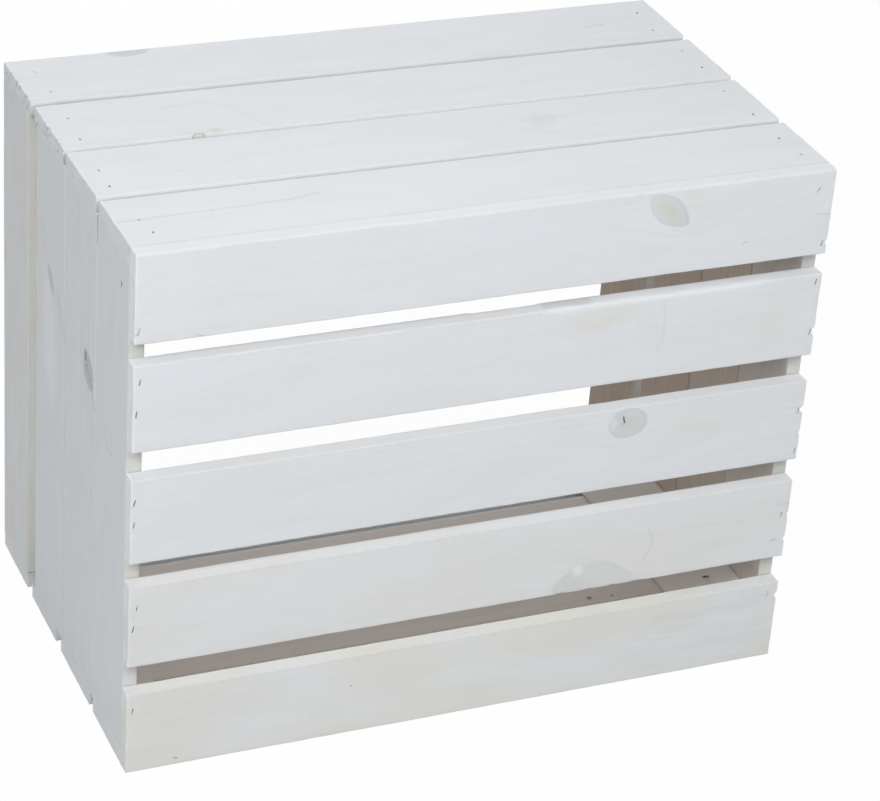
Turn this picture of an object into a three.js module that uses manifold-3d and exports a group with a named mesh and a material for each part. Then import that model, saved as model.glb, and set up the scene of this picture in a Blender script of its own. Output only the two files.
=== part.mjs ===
// Slatted softwood kindling box, in the place it has in use: it stands on one of
// its long sides, with the slats of its base to the front (-Y) and its open mouth
// to the back (+Y). Millimetres, +Z up. The origin is on the floor, under the
// middle of the box.

import * as THREE from 'three';
import { mergeVertices } from 'three/addons/utils/BufferGeometryUtils.js';
import Module from 'manifold-3d';

const wasm = await Module();
wasm.setup();

// ---------------------------------------------------------------- dimensions

const LENGTH = 500; // X, over the faces of the end boards
const HEIGHT = 400; // Z, over the faces of the side boards
const DEPTH = 307; // Y, from the faces of the slats to the rim of the mouth

const SLAT_THICKNESS = 11.5;
const SIDE_THICKNESS = 11; // top and bottom boards
const END_THICKNESS = 11;
const EASED_EDGE = 0.8; // chamfer that sanding leaves on each board
const JOINT_GAP = 0.3; // clearance wherever two pieces meet

const POST_LEG = 36.5; // each short side of the three-cornered posts
const POST_TIP = 2.5; // flat left on their two sharp edges
const POST_SETBACK = 3; // from the rim of the mouth

const STAPLE_CROWN = 6.2; // across the back of the staple
const STAPLE_LEG = 22;
const STAPLE_WIRE = 1.2;
const STAPLE_SINK = 0.5; // below the face of the slat

const BRAD_LENGTH = 30;
const BRAD_HEAD_RADIUS = 1.5;
const BRAD_HEAD_THICKNESS = 0.8;
const BRAD_SHANK_RADIUS = 0.8;
const BRAD_POINT = 2.4; // length of the tapered tip
const BRAD_SINK = 0.5; // below the face of the board
const BRAD_SIDES = 8;

const FASTENER_CLEARANCE = 0.3; // around each staple and brad in the wood
const MOUTH_OF_HOLE = 1; // how far a pilot hole's cutter stands out of the face

// The boards of each face, hand-picked and nailed by eye. `gap` is the gap after
// the board. The list runs from the floor up for the slats, and from the slats
// back to the mouth for the others. `left` and `right` are the fasteners of each
// end, as two shares: of the thickness of the end board beneath and of the
// slat's width for a staple. For a brad the first number is millimetres past the
// inner face of the end board, where the corner post begins.
const SLATS = [
  { width: 65, gap: 22, left: [[0.4, 0.785], [0.45, 0.27]], right: [[0.77, 0.85], [0.45, 0.3]] },
  { width: 65, gap: 17.5, left: [[0.55, 0.743], [0.32, 0.478]], right: [[0.56, 0.56], [0.45, 0.2]] },
  { width: 65, gap: 20.5, left: [[0.24, 0.735], [0.24, 0.474]], right: [[0.4, 0.625], [0.24, 0.123]] },
  { width: 65, gap: 15, left: [[0.42, 0.81], [0.24, 0.452]], right: [[0.43, 0.903], [0.35, 0.292]] },
  { width: 65, gap: 0, left: [[0.29, 0.142], [0.45, 0.6]], right: [[1.15, 0.777], [0.39, 0.138]] },
];
const TOP_BOARDS = [
  { width: 66.8, gap: 6.2, left: [[9.1, 0.239], [5.7, 0.517]], right: [[2.6, 0.241], [5.3, 0.653]] },
  { width: 69.1, gap: 5.5, left: [[2.2, 0.195], [2.3, 0.554]], right: [[4.4, 0.166], [6.4, 0.761]] },
  { width: 70.2, gap: 7.7, left: [[4.4, 0.179], [6.2, 0.666]], right: [[2.7, 0.295], [4, 0.725]] },
  { width: 69.7, gap: 0, left: [[7.3, 0.195], [5.2, 0.691]], right: [[7.8, 0.202]] },
];
const BOTTOM_BOARDS = [
  { width: 65.2, gap: 8 },
  { width: 71.3, gap: 12 },
  { width: 62.4, gap: 12.3 },
  { width: 64, gap: 0 },
];
const LEFT_END_BOARDS = [
  { width: 68.8, gap: 0.9 },
  { width: 70.3, gap: 2.5 },
  { width: 69, gap: 21.7 },
  { width: 62, gap: 0 },
];
const RIGHT_END_BOARDS = [
  { width: 65.5, gap: 1 },
  { width: 69.2, gap: 1.5 },
  { width: 73, gap: 10.5 },
  { width: 74.5, gap: 0 },
];

// ----------------------------------------------------------------- materials

const finish = (color, roughness, metalness = 0) =>
  new THREE.MeshStandardMaterial({ color, roughness, metalness });

const glazedSlatWood = () => finish(0xdfe2e3, 0.62);
const glazedTopWood = () => finish(0xe0e3e7, 0.62);
const glazedEndWood = () => finish(0xd6d9dd, 0.65);
const postWood = () => finish(0xa08c78, 0.75);
const stapleWire = () => finish(0x6a6c6a, 0.45, 0.8);
const bradSteel = () => finish(0x77787a, 0.4, 0.8);

// ------------------------------------------------------------ small geometry

const halfTurn = Math.PI;
const quarterTurn = Math.PI / 2;

// A board lying under the plane z = 0, its middle at the origin, with every edge
// chamfered by EASED_EDGE.
function boardGeometry(length, width, thickness) {
  const outline = new THREE.Shape([
    new THREE.Vector2(-length / 2, -width / 2),
    new THREE.Vector2(length / 2, -width / 2),
    new THREE.Vector2(length / 2, width / 2),
    new THREE.Vector2(-length / 2, width / 2),
  ]);
  const ease = Math.min(EASED_EDGE, thickness / 4);
  const geometry = new THREE.ExtrudeGeometry(outline, {
    depth: thickness - 2 * ease,
    bevelThickness: ease,
    bevelSize: ease,
    bevelOffset: -ease,
    bevelSegments: 1,
  });
  return geometry.translate(0, 0, ease - thickness);
}

// A post running along +Y from the origin, with its right angle on the Y axis
// and its legs along -X and -Z.
function postGeometry(length) {
  const section = new THREE.Shape([
    new THREE.Vector2(0, 0),
    new THREE.Vector2(0, POST_LEG),
    new THREE.Vector2(-POST_TIP, POST_LEG),
    new THREE.Vector2(-POST_LEG, POST_TIP),
    new THREE.Vector2(-POST_LEG, 0),
  ]);
  const geometry = new THREE.ExtrudeGeometry(section, { depth: length, bevelEnabled: false });
  return geometry.rotateX(-quarterTurn);
}

// A staple driven down from the plane z = 0, its crown along Y. With a margin it
// is the slot that the staple needs, open at the face of the wood.
function stapleGeometry(margin = 0) {
  const top = margin > 0 ? MOUTH_OF_HOLE : -STAPLE_SINK;
  const crown = -STAPLE_SINK - STAPLE_WIRE - margin;
  const tip = -STAPLE_SINK - STAPLE_LEG - margin;
  const outside = STAPLE_CROWN / 2 + margin;
  const inside = STAPLE_CROWN / 2 - STAPLE_WIRE - margin;
  const wire = STAPLE_WIRE + 2 * margin;
  const profile = new THREE.Shape([
    new THREE.Vector2(-outside, top),
    new THREE.Vector2(-outside, tip),
    new THREE.Vector2(-inside, tip),
    new THREE.Vector2(-inside, crown),
    new THREE.Vector2(inside, crown),
    new THREE.Vector2(inside, tip),
    new THREE.Vector2(outside, tip),
    new THREE.Vector2(outside, top),
  ]);
  const geometry = new THREE.ExtrudeGeometry(profile, { depth: wire, bevelEnabled: false });
  geometry.translate(0, 0, -wire / 2);
  return geometry.rotateX(quarterTurn).rotateZ(quarterTurn);
}

// A brad driven down from the plane z = 0. With a margin it is the pilot hole
// that the brad needs, open at the face of the wood.
function bradGeometry(margin = 0) {
  const top = margin > 0 ? MOUTH_OF_HOLE : -BRAD_SINK;
  const neck = -BRAD_SINK - BRAD_HEAD_THICKNESS - margin;
  const tip = -BRAD_SINK - BRAD_LENGTH - margin;
  const profile = [
    new THREE.Vector2(0, tip),
    new THREE.Vector2(BRAD_SHANK_RADIUS + margin, tip + BRAD_POINT),
    new THREE.Vector2(BRAD_SHANK_RADIUS + margin, neck),
    new THREE.Vector2(BRAD_HEAD_RADIUS + margin, neck),
    new THREE.Vector2(BRAD_HEAD_RADIUS + margin, top),
    new THREE.Vector2(0, top),
  ];
  return new THREE.LatheGeometry(profile, BRAD_SIDES).rotateX(quarterTurn);
}

// ------------------------------------------------------- solids and drilling

function toSolid(geometry, matrix) {
  const bare = geometry.clone().applyMatrix4(matrix);
  bare.deleteAttribute('normal');
  bare.deleteAttribute('uv');
  const welded = mergeVertices(bare, 1e-4);
  return new wasm.Manifold(
    new wasm.Mesh({
      numProp: 3,
      vertProperties: new Float32Array(welded.attributes.position.array),
      triVerts: new Uint32Array(welded.index.array),
    }),
  );
}

function toGeometry(solid) {
  const { vertProperties, triVerts } = solid.getMesh();
  const geometry = new THREE.BufferGeometry();
  geometry.setAttribute('position', new THREE.BufferAttribute(vertProperties, 3));
  geometry.setIndex(new THREE.BufferAttribute(triVerts, 1));
  geometry.computeVertexNormals();
  return geometry;
}

// Cuts the hole of each fastener out of every piece of wood that it reaches.
function drill(pieces, fasteners) {
  const boxOf = (mesh) => new THREE.Box3().setFromObject(mesh).expandByScalar(MOUTH_OF_HOLE);
  const reach = fasteners.map(boxOf);
  for (const piece of pieces) {
    const box = boxOf(piece);
    const toPiece = piece.matrixWorld.clone().invert();
    const holes = fasteners.filter((_, index) => reach[index].intersectsBox(box));
    if (holes.length === 0) continue;
    let wood = toSolid(piece.geometry, new THREE.Matrix4());
    for (const fastener of holes) {
      const place = toPiece.clone().multiply(fastener.matrixWorld);
      wood = wood.subtract(toSolid(fastener.userData.hole, place));
    }
    piece.geometry = toGeometry(wood);
  }
}

// -------------------------------------------------------------------- pieces

const box = new THREE.Group();
const woodPieces = [];
const fasteners = [];

function addPiece(list, parent, name, geometry, material) {
  const mesh = new THREE.Mesh(geometry, material);
  mesh.name = name;
  parent.add(mesh);
  list.push(mesh);
  return mesh;
}

// Lays boards side by side along the +Y of a group whose +Z is the outside of
// the face. They are all ripped alike, so that with their gaps they fill `run`.
// Returns the middle of each board along the run, and its ripped width.
function layBoards(face, name, boards, run, length, thickness, material) {
  const used = boards.reduce((sum, board) => sum + board.width + board.gap, 0);
  const rip = (run - used) / boards.length;
  let edge = 0;
  return boards.map((board, index) => {
    const width = board.width + rip;
    const geometry = boardGeometry(length, width, thickness);
    const middle = edge + width / 2;
    const mesh = addPiece(woodPieces, face, `${name}_${index + 1}`, geometry, material());
    mesh.position.y = middle;
    edge += width + board.gap;
    return { middle, width };
  });
}

// Drives one fastener for each entry of the boards' `left` and `right` lists.
// `inset` turns an entry's first number into a distance from the board's end.
function driveFasteners(face, name, boards, placed, inset, geometryOf, material) {
  const sides = [['left', -1], ['right', 1]];
  boards.forEach((board, index) => {
    for (const [side, sign] of sides) {
      board[side].forEach(([depth, share], number) => {
        const label = `${name}_${index + 1}_${side}_${number + 1}`;
        const mesh = addPiece(fasteners, face, label, geometryOf(), material());
        mesh.userData.hole = geometryOf(FASTENER_CLEARANCE);
        const { middle, width } = placed[index];
        mesh.position.x = sign * (LENGTH / 2 - inset(depth));
        mesh.position.y = middle + (share - 0.5) * width;
      });
    }
  });
}

const frontFace = -DEPTH / 2;
const behindSlats = frontFace + SLAT_THICKNESS + JOINT_GAP;
const sideRun = DEPTH / 2 - behindSlats;
const endBoardLength = HEIGHT - 2 * (SIDE_THICKNESS + JOINT_GAP);

// Base: slats laid over the front edges of all the other boards.
const base = new THREE.Group();
base.position.set(0, frontFace, 0);
base.rotation.x = quarterTurn;
box.add(base);
const slatPlaces = layBoards(base, 'base_slat', SLATS, HEIGHT, LENGTH, SLAT_THICKNESS, glazedSlatWood);
driveFasteners(
  base, 'slat_staple', SLATS, slatPlaces,
  (share) => share * END_THICKNESS, stapleGeometry, stapleWire,
);

// Top and bottom: boards that run the whole length, over the end boards.
const top = new THREE.Group();
top.position.set(0, behindSlats, HEIGHT);
box.add(top);
const topPlaces = layBoards(
  top, 'top_board', TOP_BOARDS, sideRun, LENGTH, SIDE_THICKNESS, glazedTopWood,
);
driveFasteners(
  top, 'top_brad', TOP_BOARDS, topPlaces,
  (past) => END_THICKNESS + past, bradGeometry, bradSteel,
);

const bottom = new THREE.Group();
bottom.position.set(0, behindSlats, 0);
bottom.rotation.y = halfTurn;
box.add(bottom);
layBoards(bottom, 'bottom_board', BOTTOM_BOARDS, sideRun, LENGTH, SIDE_THICKNESS, glazedTopWood);

// Ends: upright boards between the top and the bottom.
const ends = [
  ['left_end_board', LEFT_END_BOARDS, -1],
  ['right_end_board', RIGHT_END_BOARDS, 1],
];
for (const [name, boards, side] of ends) {
  const end = new THREE.Group();
  end.position.set((side * LENGTH) / 2, behindSlats, HEIGHT / 2);
  end.rotation.y = side * quarterTurn;
  box.add(end);
  layBoards(end, name, boards, sideRun, endBoardLength, END_THICKNESS, glazedEndWood);
}

// Posts: one in each corner, from the slats back almost to the rim.
const cornerX = LENGTH / 2 - END_THICKNESS - JOINT_GAP;
const cornerZ = HEIGHT / 2 - SIDE_THICKNESS - JOINT_GAP;
const corners = [
  ['top_right', 1, 1, 0],
  ['bottom_right', 1, -1, quarterTurn],
  ['bottom_left', -1, -1, halfTurn],
  ['top_left', -1, 1, -quarterTurn],
];
for (const [name, sideX, sideZ, turn] of corners) {
  const length = sideRun - POST_SETBACK;
  const post = addPiece(woodPieces, box, `corner_post_${name}`, postGeometry(length), postWood());
  post.position.set(sideX * cornerX, behindSlats, HEIGHT / 2 + sideZ * cornerZ);
  post.rotation.y = turn;
}

box.updateMatrixWorld(true);
drill(woodPieces, fasteners);

export default box;
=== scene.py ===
import math
import random
import zlib
from dataclasses import dataclass, field, replace

import bpy
import numpy as np
from mathutils import Matrix, Vector


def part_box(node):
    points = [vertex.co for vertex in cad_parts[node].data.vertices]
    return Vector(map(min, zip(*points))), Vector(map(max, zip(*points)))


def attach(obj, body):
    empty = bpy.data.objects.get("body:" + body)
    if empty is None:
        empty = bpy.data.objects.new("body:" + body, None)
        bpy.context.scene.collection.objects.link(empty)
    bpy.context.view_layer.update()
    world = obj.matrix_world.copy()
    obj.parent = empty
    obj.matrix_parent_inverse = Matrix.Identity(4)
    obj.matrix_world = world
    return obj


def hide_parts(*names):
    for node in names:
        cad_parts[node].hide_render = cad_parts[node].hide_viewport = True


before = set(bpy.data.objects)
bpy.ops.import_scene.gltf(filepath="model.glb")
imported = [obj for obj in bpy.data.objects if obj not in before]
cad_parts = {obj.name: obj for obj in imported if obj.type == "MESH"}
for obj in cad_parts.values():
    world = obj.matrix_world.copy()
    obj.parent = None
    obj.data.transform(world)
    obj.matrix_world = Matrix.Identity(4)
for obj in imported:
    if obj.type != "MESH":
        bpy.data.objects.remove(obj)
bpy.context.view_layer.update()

bl_info = {
    "name": "Kindling box",
    "version": (1, 0, 0),
    "blender": (4, 5, 0),
    "location": "View3D > Sidebar > Kindling box",
    "description": "Dresses the slatted kindling box: white-glazed pine boards, posts, staples and brads",
    "category": "Object",
}

# Blender works in metres and the woodwork below in millimetres, in the frame's own axes: +X to the right
# along the slats, -Y towards the slatted base, +Z up.
MM = 0.001
X, Y, Z = 0, 1, 2

# ------------------------------------------------------------------ the box as it lies in the frame


@dataclass
class Face:
    """The axes along and across the boards on one face of the box, and the one out of them with its sign."""

    along: int
    across: int
    outward: int
    sign: int
    slot: str


FACES = {
    "base_slat": Face(X, Z, Y, -1, "glazed_slat_wood"),
    "top_board": Face(X, Y, Z, 1, "glazed_side_wood"),
    "bottom_board": Face(X, Y, Z, -1, "glazed_side_wood"),
    "left_end_board": Face(Z, Y, X, -1, "glazed_end_wood"),
    "right_end_board": Face(Z, Y, X, 1, "glazed_end_wood"),
}
POST_CORNERS = {"top_right": (1, 1), "bottom_right": (1, -1), "bottom_left": (-1, -1), "top_left": (-1, 1)}
FIRST_TOP_BOARD = "top_board_1"  # its front edge meets the uppermost slat in a seam
LAST_SLAT = "base_slat_5"
# The settings with the radii of a board's outer arrises, at its lower or front edge and at its other one.
PLAIN_ARRISES = ("arris", "arris")
EDGE_ARRISES = {  # of the boards whose arrises aren't plain
    LAST_SLAT: ("arris", "worn_arris"),
    "top_board": ("worn_arris", "crisp_arris"),
    "bottom_board": ("crisp_arris", "crisp_arris"),
}
INNER_COAT = 0.36  # how thick the glaze lies inside the box, as a share of that outside
INNER_COATS_AND_SHADE = {  # of the boards that differ from it; on the right end boards it thins from front to back as painted shade deeper in the box
    "bottom_board_1": 0.55, "bottom_board_2": 0.48, "bottom_board_3": 0.5, "bottom_board_4": 0.6,
    # painted shade: the right end boards' inner faces hold less glaze the further back they stand, so they
    # darken towards the back
    "right_end_board_1": 0.5, "right_end_board_2": 0.3, "right_end_board_3": 0.15, "right_end_board_4": 0.1,
}
# Boards with a warm tint on their front edges, and boards with less glaze there.
WARM_EDGES = ("left_end_board_1", "left_end_board_4", "right_end_board_1", "right_end_board_4")
THIN_EDGES = {"left_end_board_4": 0.88, "right_end_board_4": 0.8}


def nodes_named(prefix):
    """The frame's nodes whose names start with prefix and a number or a place, in order."""
    return sorted(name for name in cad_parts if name.startswith(prefix + "_"))


def box_mm(node):
    """A node's lowest and highest corner in millimetres."""
    low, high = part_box(node)
    return np.array(low) / MM, np.array(high) / MM


class Board:
    """A board's own coordinates in millimetres: a from one end, b from the lower or front edge, and c from
    the outer face."""

    def __init__(self, node):
        self.node = node
        self.kind = node.rsplit("_", 1)[0]
        self.face = FACES[self.kind]
        self.low, self.high = box_mm(node)
        self.axes = [self.face.along, self.face.across, self.face.outward]
        self.size = (self.high - self.low)[self.axes]
        self.start = self.low[self.axes]
        if self.face.sign > 0:
            self.start[2] = self.high[self.face.outward]
        self.ways = np.array([1, 1, -self.face.sign])
        self.seed = zlib.crc32(node.encode())
        self.behind_gap = self.kind == "top_board" and node != FIRST_TOP_BOARD

    def to_frame(self, local):
        place = np.empty_like(local)
        place[:, self.axes] = self.start + local * self.ways
        return place

    def to_board(self, place):
        return (place[:, self.axes] - self.start) * self.ways

    def left_handed(self):
        return np.linalg.det(np.eye(3)[self.axes] * self.ways[:, None]) < 0

    def arrises(self, settings):
        """The radii of its outer arrises, at the lower or front edge and at the other one."""
        names = EDGE_ARRISES.get(self.node) or EDGE_ARRISES.get(self.kind, PLAIN_ARRISES)
        return [getattr(settings, name) / MM for name in names]

    def end_arris(self, settings):
        return (settings.slat_end_arris if self.kind == "base_slat" else settings.end_arris) / MM


# ------------------------------------------------------------- what nature and the saw left on each
#
# Places on a board, in millimetres: `along` is the frame's own coordinate (X, or Z on an end board), and
# `across` is counted from the board's lower edge on the slats and from its front edge on the others.


GREY_AND_SHADE, PALE, WARM = 0, 1, 2  # the tones of a patch; the grey also serves as painted shade


@dataclass
class Knot:
    """A knot, by its middle and its size along and across the board."""

    along: float
    across: float
    length: float
    width: float
    lean: float = 0.0  # degrees, from the board's length
    leaf: float = 0.0  # 0 round, 1 pointed at both ends
    tone: float = 0.5  # how grey the glaze turns over it
    warmth: float = 0.3  # how yellowish its heart shows
    bare: float = 0.0  # how far the glaze is rubbed off it
    swirl: float = 1.0  # how far it pushes the grain aside


@dataclass
class Mark:
    """A crack, streak or scratch along a line of points."""

    points: list
    width: float = 1.0
    strength: float = 0.5


@dataclass
class Patch:
    """A place where the glaze has another tone."""

    along: float
    across: float
    length: float
    width: float
    strength: float = 0.5
    lean: float = 0.0
    tone: int = GREY_AND_SHADE


@dataclass
class Wane:
    """Where the log's own round outside was left on an arris."""

    start: float
    stop: float
    edge: int  # 0 lower or front edge, 1 the other
    radius: float = 4.0
    inner: bool = False  # whether it is the arris towards the inside
    tone: float = 0.8  # how grey it is


@dataclass
class Chip:
    """A piece broken out of a board's end."""

    end: int  # -1 left or lower end, 1 the other
    across: float
    height: float
    depth: float


@dataclass
class Growth:
    """How a board was sawn: where the tree's heart lies, how wide its rings are and how clearly they show."""

    heart_across: float = None
    heart_depth: float = None
    slope: float = None  # how the heart runs off along the board
    ring: float = None
    figure: float = 0.25  # how clearly the rings show through the glaze
    end_figure: float = 0.0  # how strongly they show on its end grain
    warm: float = 0.0  # how far the wood tints the glaze
    knots: list = field(default_factory=list)
    marks: list = field(default_factory=list)
    patches: list = field(default_factory=list)
    wanes: list = field(default_factory=list)
    chips: list = field(default_factory=list)
    pinholes: list = field(default_factory=list)


GROWTH = {
    "base_slat_5": Growth(
        heart_across=20, heart_depth=60, slope=0.01, ring=2.4,
        knots=[Knot(123.5, 49, 39, 20, lean=-38, leaf=0.5, tone=0.6, warmth=0.45)],
        marks=[
            Mark([(-208, 3), (-203, 0)], 1.0, 0.3),
            Mark([(-246.5, 11.0), (-246.6, 9.0), (-247.8, 7.6)], 1.2, 0.9),
            Mark([(183, 16.8), (186.5, 18)], 0.9, 0.3),
            Mark([(241, 40), (250, 39.5)], 1.8, 0.12),
            Mark([(239, 32), (250, 31)], 1.6, 0.14),
            Mark([(242, 27.5), (250, 27)], 1.6, 0.10),
        ],
        patches=[Patch(140, 60, 20, 12, 0.5, tone=WARM), Patch(60, 62, 120, 8, 0.25, tone=WARM)],
        chips=[Chip(1, 9, 3, 1.0)],
    ),
    "base_slat_4": Growth(
        heart_across=40, heart_depth=44, slope=0.01, ring=2.6,
        knots=[Knot(112, 42, 36, 26, tone=0.0, warmth=0.0, swirl=0.3)],
        marks=[Mark([(128, 59), (129.5, 47), (130, 38), (129, 28), (127, 23)], 3.0, 0.05)],
        patches=[Patch(82, 53, 64, 22, 0.55, tone=WARM), Patch(218, 30, 40, 30, 0.3, tone=WARM)],
        wanes=[
            Wane(37, 84, 1, 4.0, tone=0.6), Wane(60, 205, 1, 3.2, tone=0.3),
            Wane(-14, 37, 1, 1.9, inner=True),
        ],
        chips=[Chip(1, 19, 5, 1.8)],
    ),
    "base_slat_3": Growth(
        heart_across=30, heart_depth=-45, slope=-0.01, ring=2.4,
        knots=[Knot(110, 52, 29, 23, tone=0.7, warmth=0.45)],
        marks=[Mark([(106.4, 57.0), (107.4, 53.0)], 1.5, 1.0), Mark([(238, 44), (250, 43)], 2.2, 0.08)],
        patches=[Patch(98, 53, 9, 14, 0.25, tone=PALE), Patch(160, 36, 50, 24, 0.25, tone=WARM)],
        chips=[Chip(1, 41, 4, 2.6), Chip(1, 22, 3, 1.0)],
    ),
    "base_slat_2": Growth(
        heart_across=20, heart_depth=34, slope=0.01, ring=2.6, warm=0.3,
        knots=[Knot(97, 2, 64, 42, lean=-5, leaf=0.4, tone=0.45, warmth=0.0, swirl=0.9)],
        marks=[
            Mark([(136, 44), (139, 38), (140, 31), (138, 24), (135, 19)], 3.4, 0.06),
            Mark([(240, 46), (250, 45)], 2.0, 0.10),
            Mark([(238, 15.2), (242, 16)], 1.6, 0.35),
        ],
        patches=[Patch(83.2, 17.6, 9.5, 8.5, 0.7, tone=PALE), Patch(160, 38, 90, 40, 0.3, tone=WARM)],
        wanes=[Wane(66, 76, 0, 2.2), Wane(88, 97, 0, 1.9), Wane(108, 116, 0, 2.2), Wane(126, 138, 0, 1.8)],
        chips=[Chip(1, 15, 3, 1.5), Chip(1, 36, 3, 1.2)],
    ),
    "base_slat_1": Growth(
        heart_across=40, heart_depth=-34, slope=0.02, ring=2.4, warm=0.6,
        # grey over the slat's right part: painted shade, darker towards the lower right of the slats
        patches=[Patch(210, 30, 240, 90, 0.35)],
        pinholes=[(-85.7, 39.9)],
        chips=[Chip(1, 53, 4, 1.6)],
    ),
    "top_board_1": Growth(
        heart_across=38, heart_depth=2, slope=0.02, ring=2.4, end_figure=0.15,
        marks=[Mark([(-247, 34.8), (-184, 36.3), (-129, 38.8), (-107, 43.6)], 2.6, 0.13)],
        pinholes=[(-183.6, 36.3)],
    ),
    "top_board_2": Growth(
        heart_across=30, heart_depth=40, slope=0.01, ring=2.6, end_figure=0.4,
        knots=[Knot(81, 41.3, 24, 18, leaf=0.3, tone=0.25, warmth=0.35, swirl=1.5)],
        patches=[Patch(-211, 28.7, 16, 4, 0.4), Patch(-199, 22.5, 14, 3, 0.4), Patch(-120, 30, 60, 14, 0.25)],
        pinholes=[(-186.7, 25.5)],
    ),
    "top_board_3": Growth(
        heart_across=14, heart_depth=34, slope=0.02, ring=3.6, figure=0.3, end_figure=0.9,
        knots=[
            Knot(-155, -0.5, 10, 6, tone=0.4, warmth=0.0, swirl=2.2),
            Knot(-142, 4, 12, 6, tone=0.12, warmth=0.6, bare=0.06, swirl=0.4),
        ],
        marks=[
            Mark([(-159.5, -1), (-158.5, 1.2), (-155, 1.8), (-151.5, 1.2), (-150.5, -1)], 1.4, 0.3),
            Mark([(-158, 4.5), (-153, 5.5)], 2.0, 0.2),
            Mark([(-163, 48), (-138, 48.6), (-124, 43), (-115, 30), (-110, 12), (-103, 3)], 6.0, 0.035),
            Mark([(-158, 38), (-140, 38.6), (-128, 33), (-121, 22), (-115, 5)], 5.0, 0.03),
        ],
        patches=[Patch(-146, 3, 46, 12, 0.3, tone=WARM)],
    ),
    "top_board_4": Growth(
        heart_across=-4, heart_depth=30, slope=0.03, ring=4.6, figure=0.3, end_figure=1.0,
        marks=[Mark([(183, 31), (199, 33)], 1.6, 0.25)],
        patches=[Patch(-160, 69.5, 40, 26, 0.9), Patch(-190, 62, 18, 12, 0.35, tone=WARM)],
    ),
    "left_end_board_1": Growth(
        heart_across=30, heart_depth=50, slope=0.01, ring=2.4, figure=0.5,
        marks=[
            Mark([(243, 45), (238, 47), (232, 43), (229, 36), (231, 30)], 1.8, 0.16),
            Mark([(366, 17.4), (364, 17.1)], 1.8, 0.9),
        ],
    ),
    "left_end_board_2": Growth(
        heart_across=20, heart_depth=50, slope=0.01, ring=2.4, figure=0.9,
        knots=[Knot(265, 16, 29, 21, lean=33, leaf=0.3, tone=0.8, warmth=0.0, bare=0.08)],
        marks=[
            Mark([(274.5, 22.5), (271.5, 22)], 3.4, 1.0),
            Mark([(271, 17), (266, 17.5), (262, 13), (259, 12)], 1.5, 0.5),
            Mark([(267, 23), (262, 19.5), (257, 14)], 1.3, 0.5),
            Mark([(262, 9), (257, 8), (251.5, 6.1), (242.6, 1.2)], 2.0, 0.3),
            Mark([(388, 0.3), (368, 0.0)], 1.6, 0.5),
            Mark([(385, 42), (342, 41)], 1.2, 0.15),
            Mark([(380, 33), (338, 32)], 1.2, 0.15),
            Mark([(378, 25), (322, 24)], 1.2, 0.12),
            Mark([(366, 17), (300, 15)], 1.2, 0.14),
            Mark([(230, 5.5), (214, 4.5)], 1.4, 0.25),
        ],
    ),
    "left_end_board_3": Growth(
        heart_across=40, heart_depth=40, slope=0.02, ring=2.6, figure=0.5,
        patches=[
            Patch(289, 32, 28, 13, 0.8, lean=38), Patch(272, 8, 60, 20, 0.45, lean=30),
            Patch(243, 36, 112, 34, 0.5, lean=8, tone=PALE),
        ],
    ),
    "left_end_board_4": Growth(
        heart_across=40, heart_depth=45, slope=0.01, ring=2.6, warm=0.15,
        marks=[Mark([(256, 57), (247, 59)], 3.0, 0.2)],
        # grey over the whole board: painted shade that darkens the rearmost left end board
        patches=[Patch(200, 30, 700, 120, 0.35)],
    ),
    "bottom_board_2": Growth(
        knots=[
            Knot(145, 8.5, 6, 4.5, tone=1.0, warmth=0.0, bare=0.9),
            Knot(163, 6.2, 4, 3, tone=1.0, warmth=0.0, bare=0.9),
        ],
    ),
    "bottom_board_3": Growth(figure=0.4),
}


def spare_knot(rng, board):
    """A knot somewhere on a board that has nothing written down."""
    return Knot(
        board.start[0] + rng.uniform(0.08, 0.92) * board.size[0],
        rng.uniform(0.1, 0.9) * board.size[1],
        rng.uniform(9, 24),
        rng.uniform(8, 17),
        lean=rng.uniform(-25, 25),
        leaf=rng.uniform(0, 0.5),
        tone=rng.uniform(0.3, 0.9),
        warmth=rng.uniform(0.1, 0.8),
        bare=rng.uniform(0, 0.35),
    )


def growth_of(board):
    """The board's growth, with what isn't written down for it drawn from its own seed."""
    rng = random.Random(board.seed)
    drawn = {
        "heart_across": rng.uniform(0.1, 0.9) * board.size[1],
        "heart_depth": rng.choice((-1, 1)) * rng.uniform(25, 70),
        "slope": rng.uniform(-0.03, 0.03),
        "ring": rng.uniform(2.4, 3.0),
        "knots": [spare_knot(rng, board) for _ in range(rng.randint(1, 3))],
    }
    if board.node not in GROWTH:
        return Growth(**drawn)
    known = GROWTH[board.node]
    missing = {name: value for name, value in drawn.items() if getattr(known, name) is None}
    return replace(known, **missing)


# ----------------------------------------------------------------------------------- sizes, colours


def linear(red, green, blue):
    """A colour given as it looks on a screen, from 0 to 255, as Blender's linear values."""

    def channel(value):
        share = value / 255
        return share / 12.92 if share <= 0.04045 else ((share + 0.055) / 1.055) ** 2.4

    return channel(red), channel(green), channel(blue)


def colour_setting(name, description, red, green, blue):
    return bpy.props.FloatVectorProperty(
        name=name, description=description, subtype="COLOR", size=3, min=0, max=1,
        default=linear(red, green, blue),
    )


def length_setting(name, description, millimetres):
    return bpy.props.FloatProperty(
        name=name, description=description, unit="LENGTH", min=0, default=millimetres * MM, precision=5
    )


def power_setting(name, description, watts):
    return bpy.props.FloatProperty(name=name, description=description, unit="POWER", default=watts)


def share_setting(name, description, share):
    return bpy.props.FloatProperty(
        name=name, description=description, subtype="FACTOR", min=0, max=1, default=share
    )


STAPLE_SIZE = np.subtract(*reversed(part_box("slat_staple_1_left_1")))
STAPLE_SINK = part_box("slat_staple_1_left_1")[0].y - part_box("base_slat_1")[0].y
BRAD_SIZE = np.subtract(*reversed(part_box("top_brad_1_left_1")))
BRAD_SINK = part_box("top_board_1")[1].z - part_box("top_brad_1_left_1")[1].z


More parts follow.
